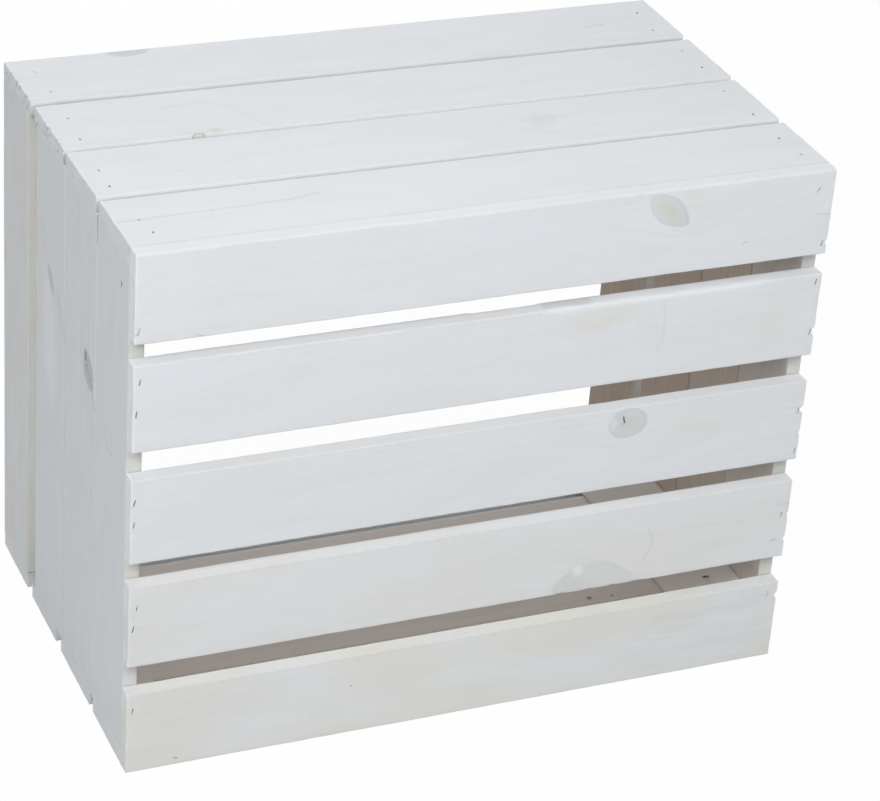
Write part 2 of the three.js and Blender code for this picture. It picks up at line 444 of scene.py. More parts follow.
class BoardSettings(bpy.types.PropertyGroup):
    """How the boards are sawn and sanded."""

    spacing: length_setting("Spacing", "Distance between the mesh's points on the boards that show most", 2.0)
    spacing_behind: length_setting("Spacing behind", "The same on the boards at the back and underneath", 3.2)
    arris: length_setting("Arris", "Radius that sanding leaves on the outer edges", 0.8)
    worn_arris: length_setting(
        "Worn arris", "Radius of the uppermost slat's upper edge and the top boards' front edges", 2.0
    )
    crisp_arris: length_setting(
        "Crisp arris", "Radius of the top boards' back edges and the bottom boards' edges", 0.45
    )
    inner_arris: length_setting("Inner arris", "Radius of the edges towards the inside", 0.5)
    seam_arris: length_setting("Seam arris", "Radius where glaze has filled the seam of two boards", 0.12)
    seam_fill: length_setting("Seam fill", "How far the first top board reaches into that seam", 0.28)
    end_arris: length_setting("End arris", "Radius round the ends of the boards", 0.6)
    slat_end_arris: length_setting("Slat end arris", "Radius round the ends of the slats", 0.9)
    wander: length_setting("Wander", "How far a sawn edge strays", 0.4)
    cup: length_setting("Cup", "How far a face strays from flat", 0.25)


class GlazeSettings(bpy.types.PropertyGroup):
    """The white glaze and the pine under it."""

    glaze: colour_setting("Glaze", "White glaze at its usual thickness", 229, 233, 237)
    thick_glaze: colour_setting("Thick glaze", "Where it gathers on edges and end grain", 243, 246, 249)
    warm_glaze: colour_setting("Warm glaze", "Where the wood tints it", 226, 226, 219)
    # also used as painted shade: deeper in the top boards' gaps, on the lowest slat's right part and on the
    # rearmost left end board
    grey_glaze_and_shade: colour_setting("Grey glaze", "Grey patches and wane", 202, 207, 211)
    early_wood: colour_setting("Early wood", "Pale part of a ring, under the glaze", 206, 190, 172)
    late_wood: colour_setting("Late wood", "Dark line of a ring, under the glaze", 178, 158, 138)
    inner_wood: colour_setting("Inner wood", "Tone of the thinly glazed wood inside the box", 192, 174, 158)
    knot_glaze: colour_setting("Knot glaze", "Grey that resin gives the glaze over a knot", 202, 210, 210)
    knot_heart: colour_setting("Knot heart", "Yellowish tone over a knot's heart", 213, 209, 190)
    knot_rim: colour_setting("Knot rim", "Line round a knot", 182, 189, 190)
    knot_wood: colour_setting("Knot wood", "A knot's own wood, where the glaze is rubbed off", 132, 120, 106)
    crack: colour_setting("Crack", "Inside of cracks and bark pockets", 84, 80, 78)


class FastenerSettings(bpy.types.PropertyGroup):
    """Staples in the slats and brads in the other boards."""

    crown: length_setting("Crown", "Width of a staple over its legs", STAPLE_SIZE[Z] / MM)
    wire: length_setting("Wire", "Thickness of a staple's wire", STAPLE_SIZE[X] / MM)
    leg: length_setting("Leg", "Length of a staple's legs", STAPLE_SIZE[Y] / MM)
    staple_sink: length_setting("Staple sink", "Depth of a crown below the slat's face", STAPLE_SINK / MM)
    brad_length: length_setting("Brad length", "Length of a brad over its head", BRAD_SIZE[Z] / MM)
    head: length_setting("Head", "Diameter of a brad's head", BRAD_SIZE[X] / MM)
    shank: length_setting("Shank", "Diameter of a brad's shank", 1.6)
    brad_sink: length_setting("Brad sink", "Depth of a head below the board's face", BRAD_SINK / MM)
    head_flatness: share_setting("Head flatness", "Thickness of a brad's head as a share of its length", 0.5)
    clearance: length_setting("Clearance", "Room that the driver bit leaves round a crown or a head", 0.1)
    steel: colour_setting("Steel", "Dull wire that shows where glaze is rubbed off", 120, 118, 114)
    rust: colour_setting("Rust", "Brown tinge on it", 98, 82, 68)


class StageSettings(bpy.types.PropertyGroup):
    """Floor, lamps and camera."""

    floor_size: length_setting("Floor", "Side of the floor", 14000)
    key_power: power_setting("Key lamp", "Watts of the big lamp in front", 23.4)
    fill_power: power_setting("Fill lamp", "Watts of the lamp further to the right", 18.0)
    mouth_power: power_setting("Mouth lamp", "Watts of the lamp behind the open mouth", 7.0)
    sky: bpy.props.FloatProperty(name="Sky", description="Strength of the soft light all round", default=0.5)
    whiteness: share_setting("Whiteness", "Share of plain white in the floor as the camera sees it", 0.97)


class KindlingBoxSettings(bpy.types.PropertyGroup):
    """All the settings of the kindling box."""

    boards: bpy.props.PointerProperty(type=BoardSettings)
    glaze: bpy.props.PointerProperty(type=GlazeSettings)
    fasteners: bpy.props.PointerProperty(type=FastenerSettings)
    stage: bpy.props.PointerProperty(type=StageSettings)


# --------------------------------------------------------------------------- nodes from expressions


class Value:
    """A socket that holds a number, so that shader and geometry maths can be written as plain expressions."""

    def __init__(self, nodes, socket):
        self.nodes, self.socket = nodes, socket

    def __add__(self, other):
        return self.nodes.math("ADD", self, other)

    def __radd__(self, other):
        return self.nodes.math("ADD", other, self)

    def __sub__(self, other):
        return self.nodes.math("SUBTRACT", self, other)

    def __rsub__(self, other):
        return self.nodes.math("SUBTRACT", other, self)

    def __mul__(self, other):
        return self.nodes.math("MULTIPLY", self, other)

    def __rmul__(self, other):
        return self.nodes.math("MULTIPLY", other, self)

    def fraction(self):
        return self.nodes.math("FRACT", self)

    def size(self):
        return self.nodes.math("ABSOLUTE", self)

    def at_most(self, other):
        return self.nodes.math("MINIMUM", self, other)

    def at_least(self, other):
        return self.nodes.math("MAXIMUM", self, other)

    def clamped(self):
        return self.at_least(0.0).at_most(1.0)

    def rising(self, start, stop):
        """0 before start, 1 after stop, and smooth between them."""
        sockets = {"Value": self, "From Min": start, "From Max": stop}
        return self.nodes.add("ShaderNodeMapRange", {"interpolation_type": "SMOOTHSTEP"}, sockets)

    def falling(self, start, stop):
        return 1 - self.rising(start, stop)


class Nodes:
    """Adds nodes to one tree, from a type, its settings, and the values or links of its sockets."""

    def __init__(self, tree):
        self.tree = tree

    def add(self, kind, settings=None, sockets=None, output=0):
        node = self.tree.nodes.new(kind)
        for name, value in (settings or {}).items():
            setattr(node, name, value)
        for key, value in (sockets or {}).items():
            socket = self.find(node.inputs, key)
            if isinstance(value, Value):
                self.tree.links.new(value.socket, socket)
            else:
                socket.default_value = value
        return Value(self, self.find(node.outputs, output))

    @staticmethod
    def find(sockets, key):
        """A socket by its number, identifier or name. An output node has none to give."""
        if isinstance(key, int):
            return sockets[key] if len(sockets) else None
        for socket in sockets:
            if socket.identifier == key:
                return socket
        return sockets[key]

    def math(self, operation, *numbers):
        return self.add("ShaderNodeMath", {"operation": operation}, dict(enumerate(numbers)))

    def attribute(self, name, output="Fac"):
        return self.add("ShaderNodeAttribute", {"attribute_name": name}, output=output)

    def parts(self, vector):
        node = self.add("ShaderNodeSeparateXYZ", sockets={0: vector}).socket.node
        return [Value(self, socket) for socket in node.outputs]

    def stretched(self, vector, along, across):
        """The vector scaled unequally, so that a noise on it runs along the grain."""
        scale = (1 / along, 1 / across, 1 / across)
        return self.add("ShaderNodeVectorMath", {"operation": "MULTIPLY"}, {0: vector, 1: scale})

    def noise(self, vector, detail=2.0, roughness=0.5):
        return self.add("ShaderNodeTexNoise", sockets={
            "Vector": vector, "Scale": 1.0, "Detail": detail, "Roughness": roughness,
        })

    def mix(self, share, first, second):
        """Two colours, each a value or its red, green and blue, mixed by a share from 0 to 1."""
        first, second = (each if isinstance(each, Value) else (*each, 1.0) for each in (first, second))
        settings = {"data_type": "RGBA", "clamp_factor": True}
        sockets = {"Factor_Float": share, "A_Color": first, "B_Color": second}
        return self.add("ShaderNodeMix", settings, sockets, "Result_Color")


def new_material(name):
    material = bpy.data.materials.new(name)
    material.use_nodes = True
    material.node_tree.nodes.clear()
    return material, Nodes(material.node_tree)


# ------------------------------------------------------------------------------------- the finishes


def glazed_pine(name, settings):
    """Pine under a thin white glaze, from what wood_fields says of each point of the wood."""
    material, nodes = new_material(name)
    grain = nodes.attribute("grain", "Vector")
    rings, figure, knot = nodes.attribute("rings"), nodes.attribute("figure"), nodes.attribute("knot")
    coat, end_grain = nodes.attribute("coat"), nodes.attribute("end_grain")
    knot_tone, knot_warmth, knot_bare = nodes.parts(nodes.attribute("knot_look", "Vector"))
    line, line_strength, _ = nodes.parts(nodes.attribute("mark", "Vector"))
    grey, pale, warm = nodes.parts(nodes.attribute("patch", "Vector"))

    def grained(along, across, detail, roughness=0.5):
        """A noise drawn out along the grain, from its reach along and across it in millimetres."""
        return nodes.noise(nodes.stretched(grain, along, across), detail, roughness)

    streaks = grained(45.0, 1.3, 3.0, 0.6)
    fibres = grained(9.0, 0.42, 2.0, 0.6)
    clouds = grained(60.0, 14.0, 3.0, 0.55)
    brush = grained(120.0, 3.0, 2.0)
    pores = grained(4.5, 0.6, 1.0)
    drift = grained(110.0, 35.0, 2.0)
    blotches = grained(6.0, 5.0, 2.0)
    spells = grained(20.0, 10.0, 1.0)
    streaky, fibrous, cloudy, brushed = (each - 0.5 for each in (streaks, fibres, clouds, brush))

    # the wood itself, in pale and dark rings, and its knots
    phase = (rings + streaky * 0.4).fraction()
    late = phase.rising(0.35, 0.86) * phase.falling(0.9, 1.0)
    wood = nodes.mix(late * 0.5, settings.early_wood, settings.late_wood)
    wood = nodes.mix((streaks - 0.4).clamped() * 0.8 + 0.4, wood, settings.inner_wood)
    reach = knot + (streaky * 0.14 + fibrous * 0.08)
    knot_lines = (reach * 4.0).fraction().rising(0.3, 0.8)
    in_knot = reach.falling(0.84, 1.06)
    rim = (reach - 0.97).size().falling(0.0, 0.14)
    heart = (knot + cloudy * 0.5).falling(0.1, 0.75)
    wood = nodes.mix(in_knot * knot_bare.rising(0.0, 0.1), wood, settings.knot_wood)

    # how well the glaze covers it
    dark_pores = pores.rising(0.64, 0.74)
    light_pores = pores.falling(0.28, 0.36)
    thin = (
        late * figure * (clouds * 0.1) + streaky * 0.06 + fibrous * 0.04 + cloudy * 0.13 + brushed * 0.05
        + dark_pores * 0.07 - light_pores * 0.04
    )
    thick = (coat - 1.0).clamped()
    # where the coat is lowered as painted shade, more of the darker wood shows through
    cover = (coat.at_most(1.0) * (0.94 - thin) + thick * 0.06).clamped() * (1 - in_knot * knot_bare)

    # the glaze's own tones
    glaze = nodes.mix(thick, settings.glaze, settings.thick_glaze)
    warmed = drift.rising(0.45, 0.7) * 0.22 + warm * drift.rising(0.2, 0.6)
    glaze = nodes.mix(warmed, glaze, settings.warm_glaze)
    knot_cover = in_knot * knot_tone * (0.65 + clouds * 0.5 + knot_lines * 0.03)
    glaze = nodes.mix(knot_cover, glaze, settings.knot_glaze)
    glaze = nodes.mix(rim * knot_tone * (clouds * 1.1 - 0.1).clamped(), glaze, settings.knot_rim)
    glaze = nodes.mix(heart * knot_warmth, glaze, settings.knot_heart)
    glaze = nodes.mix(pale * (0.6 + clouds * 0.8), glaze, settings.thick_glaze)
    ragged = streaky * 0.4 + cloudy * 0.5
    # grey stains and wane, and also painted shade: deeper in the top boards' gaps, on the lowest slat's right
    # part and on the rearmost left end board
    glaze = nodes.mix((grey + ragged).rising(0.25, 0.6) * grey, glaze, settings.grey_glaze_and_shade)
    colour = nodes.mix(cover, wood, glaze)

    # cracks, and the rings that show on a sawn end
    crack = (line + fibrous * 0.6).size().falling(0.4, 1.0) * line_strength
    turn = (rings * 0.7 + blotches * 2.2).fraction()
    stroke = turn.rising(0.42, 0.55) * turn.falling(0.68, 0.85) * end_grain * spells.rising(0.4, 0.55)
    colour = nodes.mix(crack + stroke, colour, settings.crack)

    height = (
        fibres * 0.25 + streaks * 0.3 + late * figure * 0.15 + brush * 0.2 - dark_pores * 0.3
        - crack * 2.0 - rim * knot_tone * 0.5
    )
    normal = nodes.add("ShaderNodeBump", sockets={"Strength": 0.45, "Distance": 0.25 * MM, "Height": height})
    roughness = (0.52 + fibres * 0.16 + (1 - cover) * 0.12).clamped()
    shader = nodes.add("ShaderNodeBsdfPrincipled", sockets={
        "Base Color": colour, "Roughness": roughness, "Normal": normal, "Specular IOR Level": 0.3,
    })
    nodes.add("ShaderNodeOutputMaterial", sockets={"Surface": shader})
    return material


def dull_steel(name, settings, glaze):
    """Wire and brad steel, dull and a little rusty, with remains of glaze on it."""
    speck, spot = 1.1 * MM, 4 * MM
    material, nodes = new_material(name)
    place = nodes.add("ShaderNodeTexCoord", output="Object")
    specks = nodes.noise(nodes.stretched(place, speck, speck), 3.0, 0.6)
    spots = nodes.noise(nodes.stretched(place, spot, spot))
    rusty = specks.rising(0.42, 0.62)
    colour = nodes.mix(rusty, settings.steel, settings.rust)
    glazed = spots.rising(0.48, 0.6) * 0.7
    colour = nodes.mix(glazed, colour, glaze.glaze)
    normal = nodes.add("ShaderNodeBump", sockets={"Strength": 0.4, "Distance": 0.05 * MM, "Height": specks})
    shader = nodes.add("ShaderNodeBsdfPrincipled", sockets={
        "Base Color": colour, "Metallic": (1 - glazed) * 0.7, "Roughness": 0.42 + rusty * 0.3,
        "Normal": normal,
    })
    nodes.add("ShaderNodeOutputMaterial", sockets={"Surface": shader})
    return material


def finish_for(context, slot):
    """The material of a slot of the record, made when it is first asked for."""
    name = f"{slot}_finish"
    if name in bpy.data.materials:
        return bpy.data.materials[name]
    settings = context.scene.kindling_box
    if slot in ("staple_wire", "brad_steel"):
        return dull_steel(name, settings.fasteners, settings.glaze)
    return glazed_pine(name, settings.glaze)


# -------------------------------------------------------------------------------- shapes in numbers


def smooth(value, start, stop):
    """0 before start, 1 after stop, and smooth between them."""
    share = np.clip((value - start) / (stop - start), 0, 1)
    return share * share * (3 - 2 * share)


def wavy(rng, places, wavelength, waves=5):
    """A gentle noise from about -1 to 1, a sum of a few waves; places has one column for each direction."""
    total = np.zeros(len(places))
    for _ in range(waves):
        direction = np.array([rng.gauss(0, 1) for _ in range(places.shape[1])])
        direction /= np.linalg.norm(direction)
        stretch = rng.uniform(0.6, 1.7)
        turns = places @ direction * (math.tau / (wavelength * stretch))
        total += np.cos(turns + rng.uniform(0, math.tau))
    return total / math.sqrt(waves * 2)


def stations(length, spacing, ease):
    """Places of the mesh's points along one side of a board, closer together where its edge is rounded."""
    count = max(2, round((length - 2 * ease) / spacing) + 1)
    middle = np.linspace(ease, length - ease, count)
    near = ease * np.array([0, 0.27, 0.6])
    return np.concatenate([near, middle, length - near[::-1]])


def block_shell(counts):
    """The surface of a block of points: which of them lie on it, and the quads that join them, facing out."""
    on_shell = np.zeros(counts, bool)
    for axis in range(3):
        ends = [slice(None)] * 3
        ends[axis] = [0, -1]
        on_shell[tuple(ends)] = True
    index = np.full(counts, -1)
    index[on_shell] = np.arange(on_shell.sum())
    quads = []
    for axis in range(3):
        for end in (0, -1):
            sheet = np.take(index, end, axis=axis)
            corners = [sheet[:-1, :-1], sheet[1:, :-1], sheet[1:, 1:], sheet[:-1, 1:]]
            faces = np.stack(corners, -1).reshape(-1, 4)
            quads.append(faces[:, ::-1] if (axis == 1) != (end == 0) else faces)
    return on_shell, np.concatenate(quads)


def rounded(points, size, radius):
    """Points on a block's surface, drawn in so that its edges are rounded by each point's own radius."""
    radius = radius[:, None]
    core = np.clip(points, radius, size - radius)
    out = points - core
    reach = np.linalg.norm(out, axis=1, keepdims=True)
    return np.where(reach > 1e-9, core + out * radius / np.maximum(reach, 1e-9), points)


def listed_mesh(name, points, faces=()):
    """A mesh in metres from points in millimetres and a list of faces, which may have any number of sides."""
    mesh = bpy.data.meshes.new(name)
    mesh.from_pydata([tuple(point * MM) for point in points], [], faces)
    return mesh


def new_mesh(name, points, faces):
    """A mesh in metres from points in millimetres and an array of faces."""
    mesh = bpy.data.meshes.new(name)
    sides = faces.shape[1]
    mesh.vertices.add(len(points))
    mesh.vertices.foreach_set("co", (points * MM).astype(np.float32).ravel())
    mesh.loops.add(faces.size)
    mesh.loops.foreach_set("vertex_index", faces.astype(np.int32).ravel())
    mesh.polygons.add(len(faces))
    mesh.polygons.foreach_set("loop_start", np.arange(0, faces.size, sides, dtype=np.int32))
    mesh.update(calc_edges=True)
    mesh.validate()
    return mesh


def new_object(name, mesh, context):
    piece = bpy.data.objects.new(name, mesh)
    context.scene.collection.objects.link(piece)
    return piece


def points_of(mesh):
    """A mesh's points in millimetres."""
    places = np.empty(len(mesh.vertices) * 3, np.float32)
    mesh.vertices.foreach_get("co", places)
    return places.reshape(-1, 3).astype(float) / MM


def smooth_but_creased(mesh, angle=38.0):
    """Shades the mesh smooth, with edges sharper than the angle, in degrees, left crisp."""
    mesh.polygons.foreach_set("use_smooth", np.ones(len(mesh.polygons), bool))
    normals = np.empty(len(mesh.polygons) * 3, np.float32)
    mesh.polygons.foreach_get("normal", normals)
    normals = normals.reshape(-1, 3)
    edge_of = np.empty(len(mesh.loops), np.int32)
    mesh.loops.foreach_get("edge_index", edge_of)
    totals = np.empty(len(mesh.polygons), np.int32)
    mesh.polygons.foreach_get("loop_total", totals)
    face_of = np.repeat(np.arange(len(mesh.polygons)), totals)
    order = np.argsort(edge_of, kind="stable")
    first, second = order[:-1], order[1:]
    same = edge_of[first] == edge_of[second]
    first, second = first[same], second[same]
    turn = np.einsum("ij,ij->i", normals[face_of[first]], normals[face_of[second]])
    sharp = np.zeros(len(mesh.edges), bool)
    sharp[edge_of[first[turn < math.cos(math.radians(angle))]]] = True
    attribute = mesh.attributes.new("sharp_edge", "BOOLEAN", "EDGE")
    attribute.data.foreach_set("value", sharp)


def give_attribute(mesh, name, values):
    kind = "FLOAT" if values.ndim == 1 else "FLOAT_VECTOR"
    attribute = mesh.attributes.new(name, kind, "POINT")
    attribute.data.foreach_set("value" if values.ndim == 1 else "vector", values.astype(np.float32).ravel())


# ---------------------------------------------------------------------------- wood: shape and grain

EDGE_REACH = 9.0  # how far in from an edge a board's face follows the edge's straying
SPACING_THROUGH = 1.9  # between the mesh's points from one face of a board to the other
LEAST_RADIUS, MOST_RADIUS = 0.15, 5.2  # of an arris
MARK_REACH, MARK_DEPTH = 12, 0.35
END_FIGURE = 0.32  # how clearly the rings of a board's end can show
FAR_FROM_KNOT, FAR_FROM_MARK = 4.0, 9.0  # read where there is none, in knot radii and in half widths


def turned(along, across, lean):
    """Coordinates turned so that the first runs along a knot that leans."""
    angle = math.radians(lean)
    return (
        along * math.cos(angle) + across * math.sin(angle),
        across * math.cos(angle) - along * math.sin(angle),
    )


def knot_reach(knot, along, across):
    """Distance from a knot's heart, as a share of its own radius in that direction."""
    length, width = turned(along - knot.along, across - knot.across, knot.lean)
    power = 2 - knot.leaf
    shares = np.abs(length / (knot.length / 2)) ** power + np.abs(width / (knot.width / 2)) ** power
    return shares ** (1 / power)


def patch_share(patch, along, across):
    """How strongly a patch tints the glaze at each place."""
    length, width = turned(along - patch.along, across - patch.across, patch.lean)
    reach = np.hypot(length / (patch.length / 2), width / (patch.width / 2))
    return (1 - smooth(reach, 0.55, 1.15)) * patch.strength


def mark_field(mark, along, across):
    """Distance from a mark's line in half widths, signed by the side, and the mark's strength there."""
    nearest = np.full(len(along), np.inf)
    signed = np.zeros(len(along))
    beyond = np.zeros(len(along))
    for start, stop in zip(mark.points[:-1], mark.points[1:]):
        run = np.array(stop, float) - start
        length = np.linalg.norm(run)
        unit = run / length
        first, second = along - start[0], across - start[1]
        share = first * unit[0] + second * unit[1]
        side = second * unit[0] - first * unit[1]
        past = np.maximum(np.maximum(-share, share - length), 0)
        distance = np.hypot(side, past)
        closer = distance < nearest
        nearest = np.where(closer, distance, nearest)
        signed = np.where(closer, side, signed)
        beyond = np.where(closer, past, beyond)
    fade = 1 - smooth(beyond, 0, 0.4 + mark.width)
    return signed / (mark.width / 2), fade * mark.strength * (nearest < MARK_REACH)


def tint(patch, tone, strength):
    """Strengthens one tone of the glaze to at least this."""
    patch[:, tone] = np.maximum(patch[:, tone], strength)


def wood_fields(growth, seed, local, along):
    """What the glazed pine reads at each point, apart from its coat; local holds a, b and c, and along is a
    in the frame's own coordinate. grain is the place in uncut wood, rings counts its rings and figure tells
    how clearly they show. knot is 0 in a knot's heart and 1 at its rim, and knot_look holds its tone, warmth
    and bareness. mark holds the distance from a crack's line and its strength, patch how grey, pale and warm
    the glaze is, and end_grain how clearly the rings show on an end."""
    rng = random.Random(seed + 1)
    across, deep = local[:, 1], local[:, 2]
    pushed = across.copy()
    knot = np.full(len(along), FAR_FROM_KNOT)
    look = np.zeros((len(along), 3))
    figure = np.full(len(along), growth.figure)
    for each in growth.knots:
        reach = knot_reach(each, along, across)
        push = np.where(reach > 1, np.exp(-(reach - 1) / 4.0) / np.maximum(reach, 1) ** 2, 1.0)
        pushed -= (across - each.across) * np.clip(push * each.swirl, 0, 1)
        figure += each.swirl * np.exp(-np.clip(reach - 1, 0, None) / 1.2)
        nearer = reach < knot
        knot = np.where(nearer, reach, knot)
        look[nearer] = (each.tone, each.warmth, each.bare)
    wander = wavy(rng, along[:, None], 300.0, 3) * 1.6 + wavy(rng, along[:, None], 90.0, 3) * 0.5
    heart_across = growth.heart_across + growth.slope * along + wander
    heart_depth = growth.heart_depth + wavy(rng, along[:, None], 420.0, 2) * 3
    rings = np.hypot(pushed - heart_across, deep - heart_depth) / growth.ring
    rings += 0.15 * wavy(rng, np.column_stack([along / 12, pushed]), 14.0)
    mark = np.zeros((len(along), 3))
    mark[:, 0] = FAR_FROM_MARK
    for each in growth.marks:
        signed, strength = mark_field(each, along, across)
        stronger = strength > mark[:, 1]
        mark[stronger, 0] = signed[stronger]
        mark[stronger, 1] = strength[stronger]
    patch = np.zeros((len(along), 3))
    patch[:, WARM] = growth.warm
    for each in growth.patches:
        tint(patch, each.tone, patch_share(each, along, across))
    offset = np.array([rng.uniform(0, 4000) for _ in range(3)])
    grain = np.column_stack([local[:, 0], pushed, deep]) + offset
    return {
        "grain": grain, "rings": rings, "figure": figure, "knot": knot, "knot_look": look, "mark": mark,
        "patch": patch, "end_grain": np.zeros(len(along)),
    }


def near_edge(gap):
    """1 on an edge, falling to 0 at EDGE_REACH from it."""
    return np.clip(1 - gap / EDGE_REACH, 0, 1)


def on_front_edge(b):
    return 1 - smooth(b, 0.2, 1.0)


def arris_radii(board, growth, settings, flat, long_waves, short_waves):
    """How far a board is rounded at each point: sanded arrises, wane, the filled seam and the ends."""
    a, b, c = flat.T
    along = a + board.start[0]
    lower_arris, upper_arris = board.arrises(settings)
    inner_arris, seam_arris = settings.inner_arris / MM, settings.seam_arris / MM
    high_edge, outer = b > board.size[1] / 2, c < board.size[2] / 2
    radius = np.where(outer, np.where(high_edge, upper_arris, lower_arris), inner_arris)
    short = np.where(high_edge, short_waves[0], short_waves[1])
    radius = radius * (1 + 0.14 * long_waves[0] + 0.10 * short)
    if board.node == FIRST_TOP_BOARD:
        radius = np.where(~high_edge & outer, seam_arris, radius)
    if board.node == LAST_SLAT:
        radius = np.where(high_edge & ~outer, seam_arris, radius)
    for wane in growth.wanes:
        within = smooth(along, wane.start, wane.start + 3) * (1 - smooth(along, wane.stop - 3, wane.stop))
        here = (high_edge if wane.edge else ~high_edge) & (outer != wane.inner)
        swell = (wane.radius - radius) * within * (1 + 0.1 * short_waves[2])
        radius = np.where(here, radius + swell, radius)
    from_end = np.minimum(a, board.size[0] - a)
    from_side = np.minimum(b, board.size[1] - b)
    at_end = smooth(from_side - from_end, -1.5, 1.5)
    radius = radius * (1 - at_end) + np.where(outer, board.end_arris(settings), inner_arris) * at_end
    return np.clip(radius, LEAST_RADIUS, min(board.size[2] / 2 - 0.1, MOST_RADIUS))


def stray_edges(points, board, settings, flat, long_waves, short_waves):
    """Draws a board's long edges in, each by a different wave, as the saw left them."""
    b = flat[:, 1]
    for high, waves, ripples in zip((False, True), long_waves[1:3], short_waves[2:]):
        if board.node == FIRST_TOP_BOARD and not high:
            continue
        share = 0.4 if high and board.kind == "top_board" else 1
        stray = settings.wander / MM * (0.4 + 0.34 * waves + 0.12 * ripples) * share
        gap = board.size[1] - b if high else b
        points[:, 1] += (-1 if high else 1) * np.clip(stray, 0, None) * near_edge(gap)


def uneven_face(points, board, growth, settings, flat, rng):
    """Bows the outer face a little, with knots standing proud of it and marks sunk into it."""
    a, b, c = flat.T
    along = a + board.start[0]
    outwards = 1 - c / board.size[2]
    long_bow, short_bow = wavy(rng, flat[:, :2], 150.0), wavy(rng, flat[:, :2] * [0.3, 1], 11.0)
    bow = settings.cup / MM * (0.5 + 0.3 * long_bow + 0.12 * short_bow)
    points[:, 2] += np.clip(bow, 0, None) * outwards
    for knot in growth.knots:
        reach = knot_reach(knot, along, b)
        proud = np.exp(-((reach - 0.2) ** 2) * 1.8) * 0.1 - np.exp(-((reach - 1.05) ** 2) * 30) * 0.12
        points[:, 2] -= proud * outwards
    for mark in growth.marks:
        signed, strength = mark_field(mark, along, b)
        points[:, 2] += np.exp(-(signed ** 2) / 3) * strength * MARK_DEPTH * outwards


def sawn_ends(points, board, growth, flat, rng):
    """Draws the ends in by a rough saw cut and by the chips that broke out of it."""
    a, b, c = flat.T
    fine, coarse = wavy(rng, np.column_stack([b * 0.25, c]), 2.4), wavy(rng, np.column_stack([b, c]), 30.0)
    saw = 0.10 * fine + 0.12 * coarse
    for end in (-1, 1):
        gone = np.clip(0.22 + saw, 0.02, None)
        for chip in growth.chips:
            if chip.end == end:
                middle = 1 - smooth(np.abs(b - chip.across), chip.height * 0.35, chip.height * 0.75)
                gone = gone + chip.depth * middle * (0.55 + 0.45 * (1 - c / board.size[2]))
        gap = board.size[0] - a if end > 0 else a
        points[:, 0] -= end * gone * near_edge(gap)


def board_points(board, growth, settings, spacing):
    """The surface of one board: its points in the board's own coordinates, and its quads."""
    rng = random.Random(board.seed + 2)
    ease = max(board.arrises(settings))
    steps = [
        stations(board.size[0], spacing, board.end_arris(settings)),
        stations(board.size[1], spacing, ease),
        stations(board.size[2], SPACING_THROUGH, ease),
    ]
    on_shell, faces = block_shell([len(step) for step in steps])
    flat = np.stack(np.meshgrid(*steps, indexing="ij"), -1)[on_shell]
    if board.left_handed():
        faces = faces[:, ::-1]
    long_waves = [wavy(rng, flat[:, :1], 120.0) for _ in range(4)]
    short_waves = [wavy(rng, flat[:, :1], 21.0) for _ in range(4)]
    points = rounded(flat, board.size, arris_radii(board, growth, settings, flat, long_waves, short_waves))
    stray_edges(points, board, settings, flat, long_waves, short_waves)
    uneven_face(points, board, growth, settings, flat, rng)
    sawn_ends(points, board, growth, flat, rng)
    points = np.clip(points, 0, board.size)
    if board.node == FIRST_TOP_BOARD:
        points[:, 1] -= settings.seam_fill / MM * near_edge(flat[:, 1])
    return points, faces


def coat_and_painted_shade_on(board, local):
    """How thick the glaze lies: 1 on the outer face and most edges, more on end grain, and less on arrises
    and inside the box. It also holds painted shade, less glaze deeper in the top boards' gaps and on the
    right end boards towards the back, and on the last slat a whiter top edge, partly a painted highlight, and
    a darker upper front arris as painted shade."""
    a, b, c = local.T
    length, width, thick = board.size
    from_end = np.minimum(a, length - a)
    inside = smooth(c, thick - 0.9, thick - 0.1) * smooth(from_end, 0.1, 0.9)
    coat = 1 - (1 - INNER_COATS_AND_SHADE.get(board.node, INNER_COAT)) * inside
    rubbed = 1.6  # how far in from an arris the glaze is thinner, which darkens a band along the outer arrises
    coat -= 0.06 * np.exp(-(np.minimum(b, width - b) / rubbed) ** 2) * np.exp(-(c / rubbed) ** 2)
    if board.behind_gap:
        # painted shade: the rear board's front edge loses glaze with depth in the gap, so it darkens where
        # the gap's shade falls
        coat -= 0.28 * smooth(c, 1.6, 4.2) * on_front_edge(b)
    coat += (1.5 if board.kind == "base_slat" else 0.3) * (1 - smooth(from_end, 0.4, 1.2))
    if board.node == LAST_SLAT:
        # a whiter band along the top edge: partly thick glaze, partly a painted highlight
        coat += 0.15 * smooth(b, width - 2.2, width - 0.4)
        # painted shade: less glaze on the upper front arris tones down the highlight that it catches
        coat -= 0.12 * np.exp(-((b + c - width) / rubbed) ** 2)
    if board.node in THIN_EDGES:
        coat += (THIN_EDGES[board.node] - coat) * (1 - smooth(b, 0.3, 1.0))
    return coat


def tint_and_shade_edges(board, growth, local, along, patch):
    """The tones of a board's edges: warm in front, painted shade in grey deeper in the top boards' gaps, and
    grey on wane.
    """
    on_front = on_front_edge(local[:, 1])
    if board.node in WARM_EDGES:
        tint(patch, WARM, on_front * 0.6)
    if board.behind_gap:
        # painted shade: grey deeper down the rear board's front edge in the gap
        tint(patch, GREY_AND_SHADE, on_front * smooth(local[:, 2], 1.6, 3.8))
    for wane in growth.wanes:
        if wane.inner:
            continue
        within = smooth(along, wane.start, wane.start + 2) * (1 - smooth(along, wane.stop - 12, wane.stop))
        from_edge = board.size[1] - local[:, 1] if wane.edge else local[:, 1]
        tint(patch, GREY_AND_SHADE, within * (1 - smooth(from_edge, 0.3, 1.4)) * wane.tone)


# ---------------------------------------------------------------------------------- fastener places


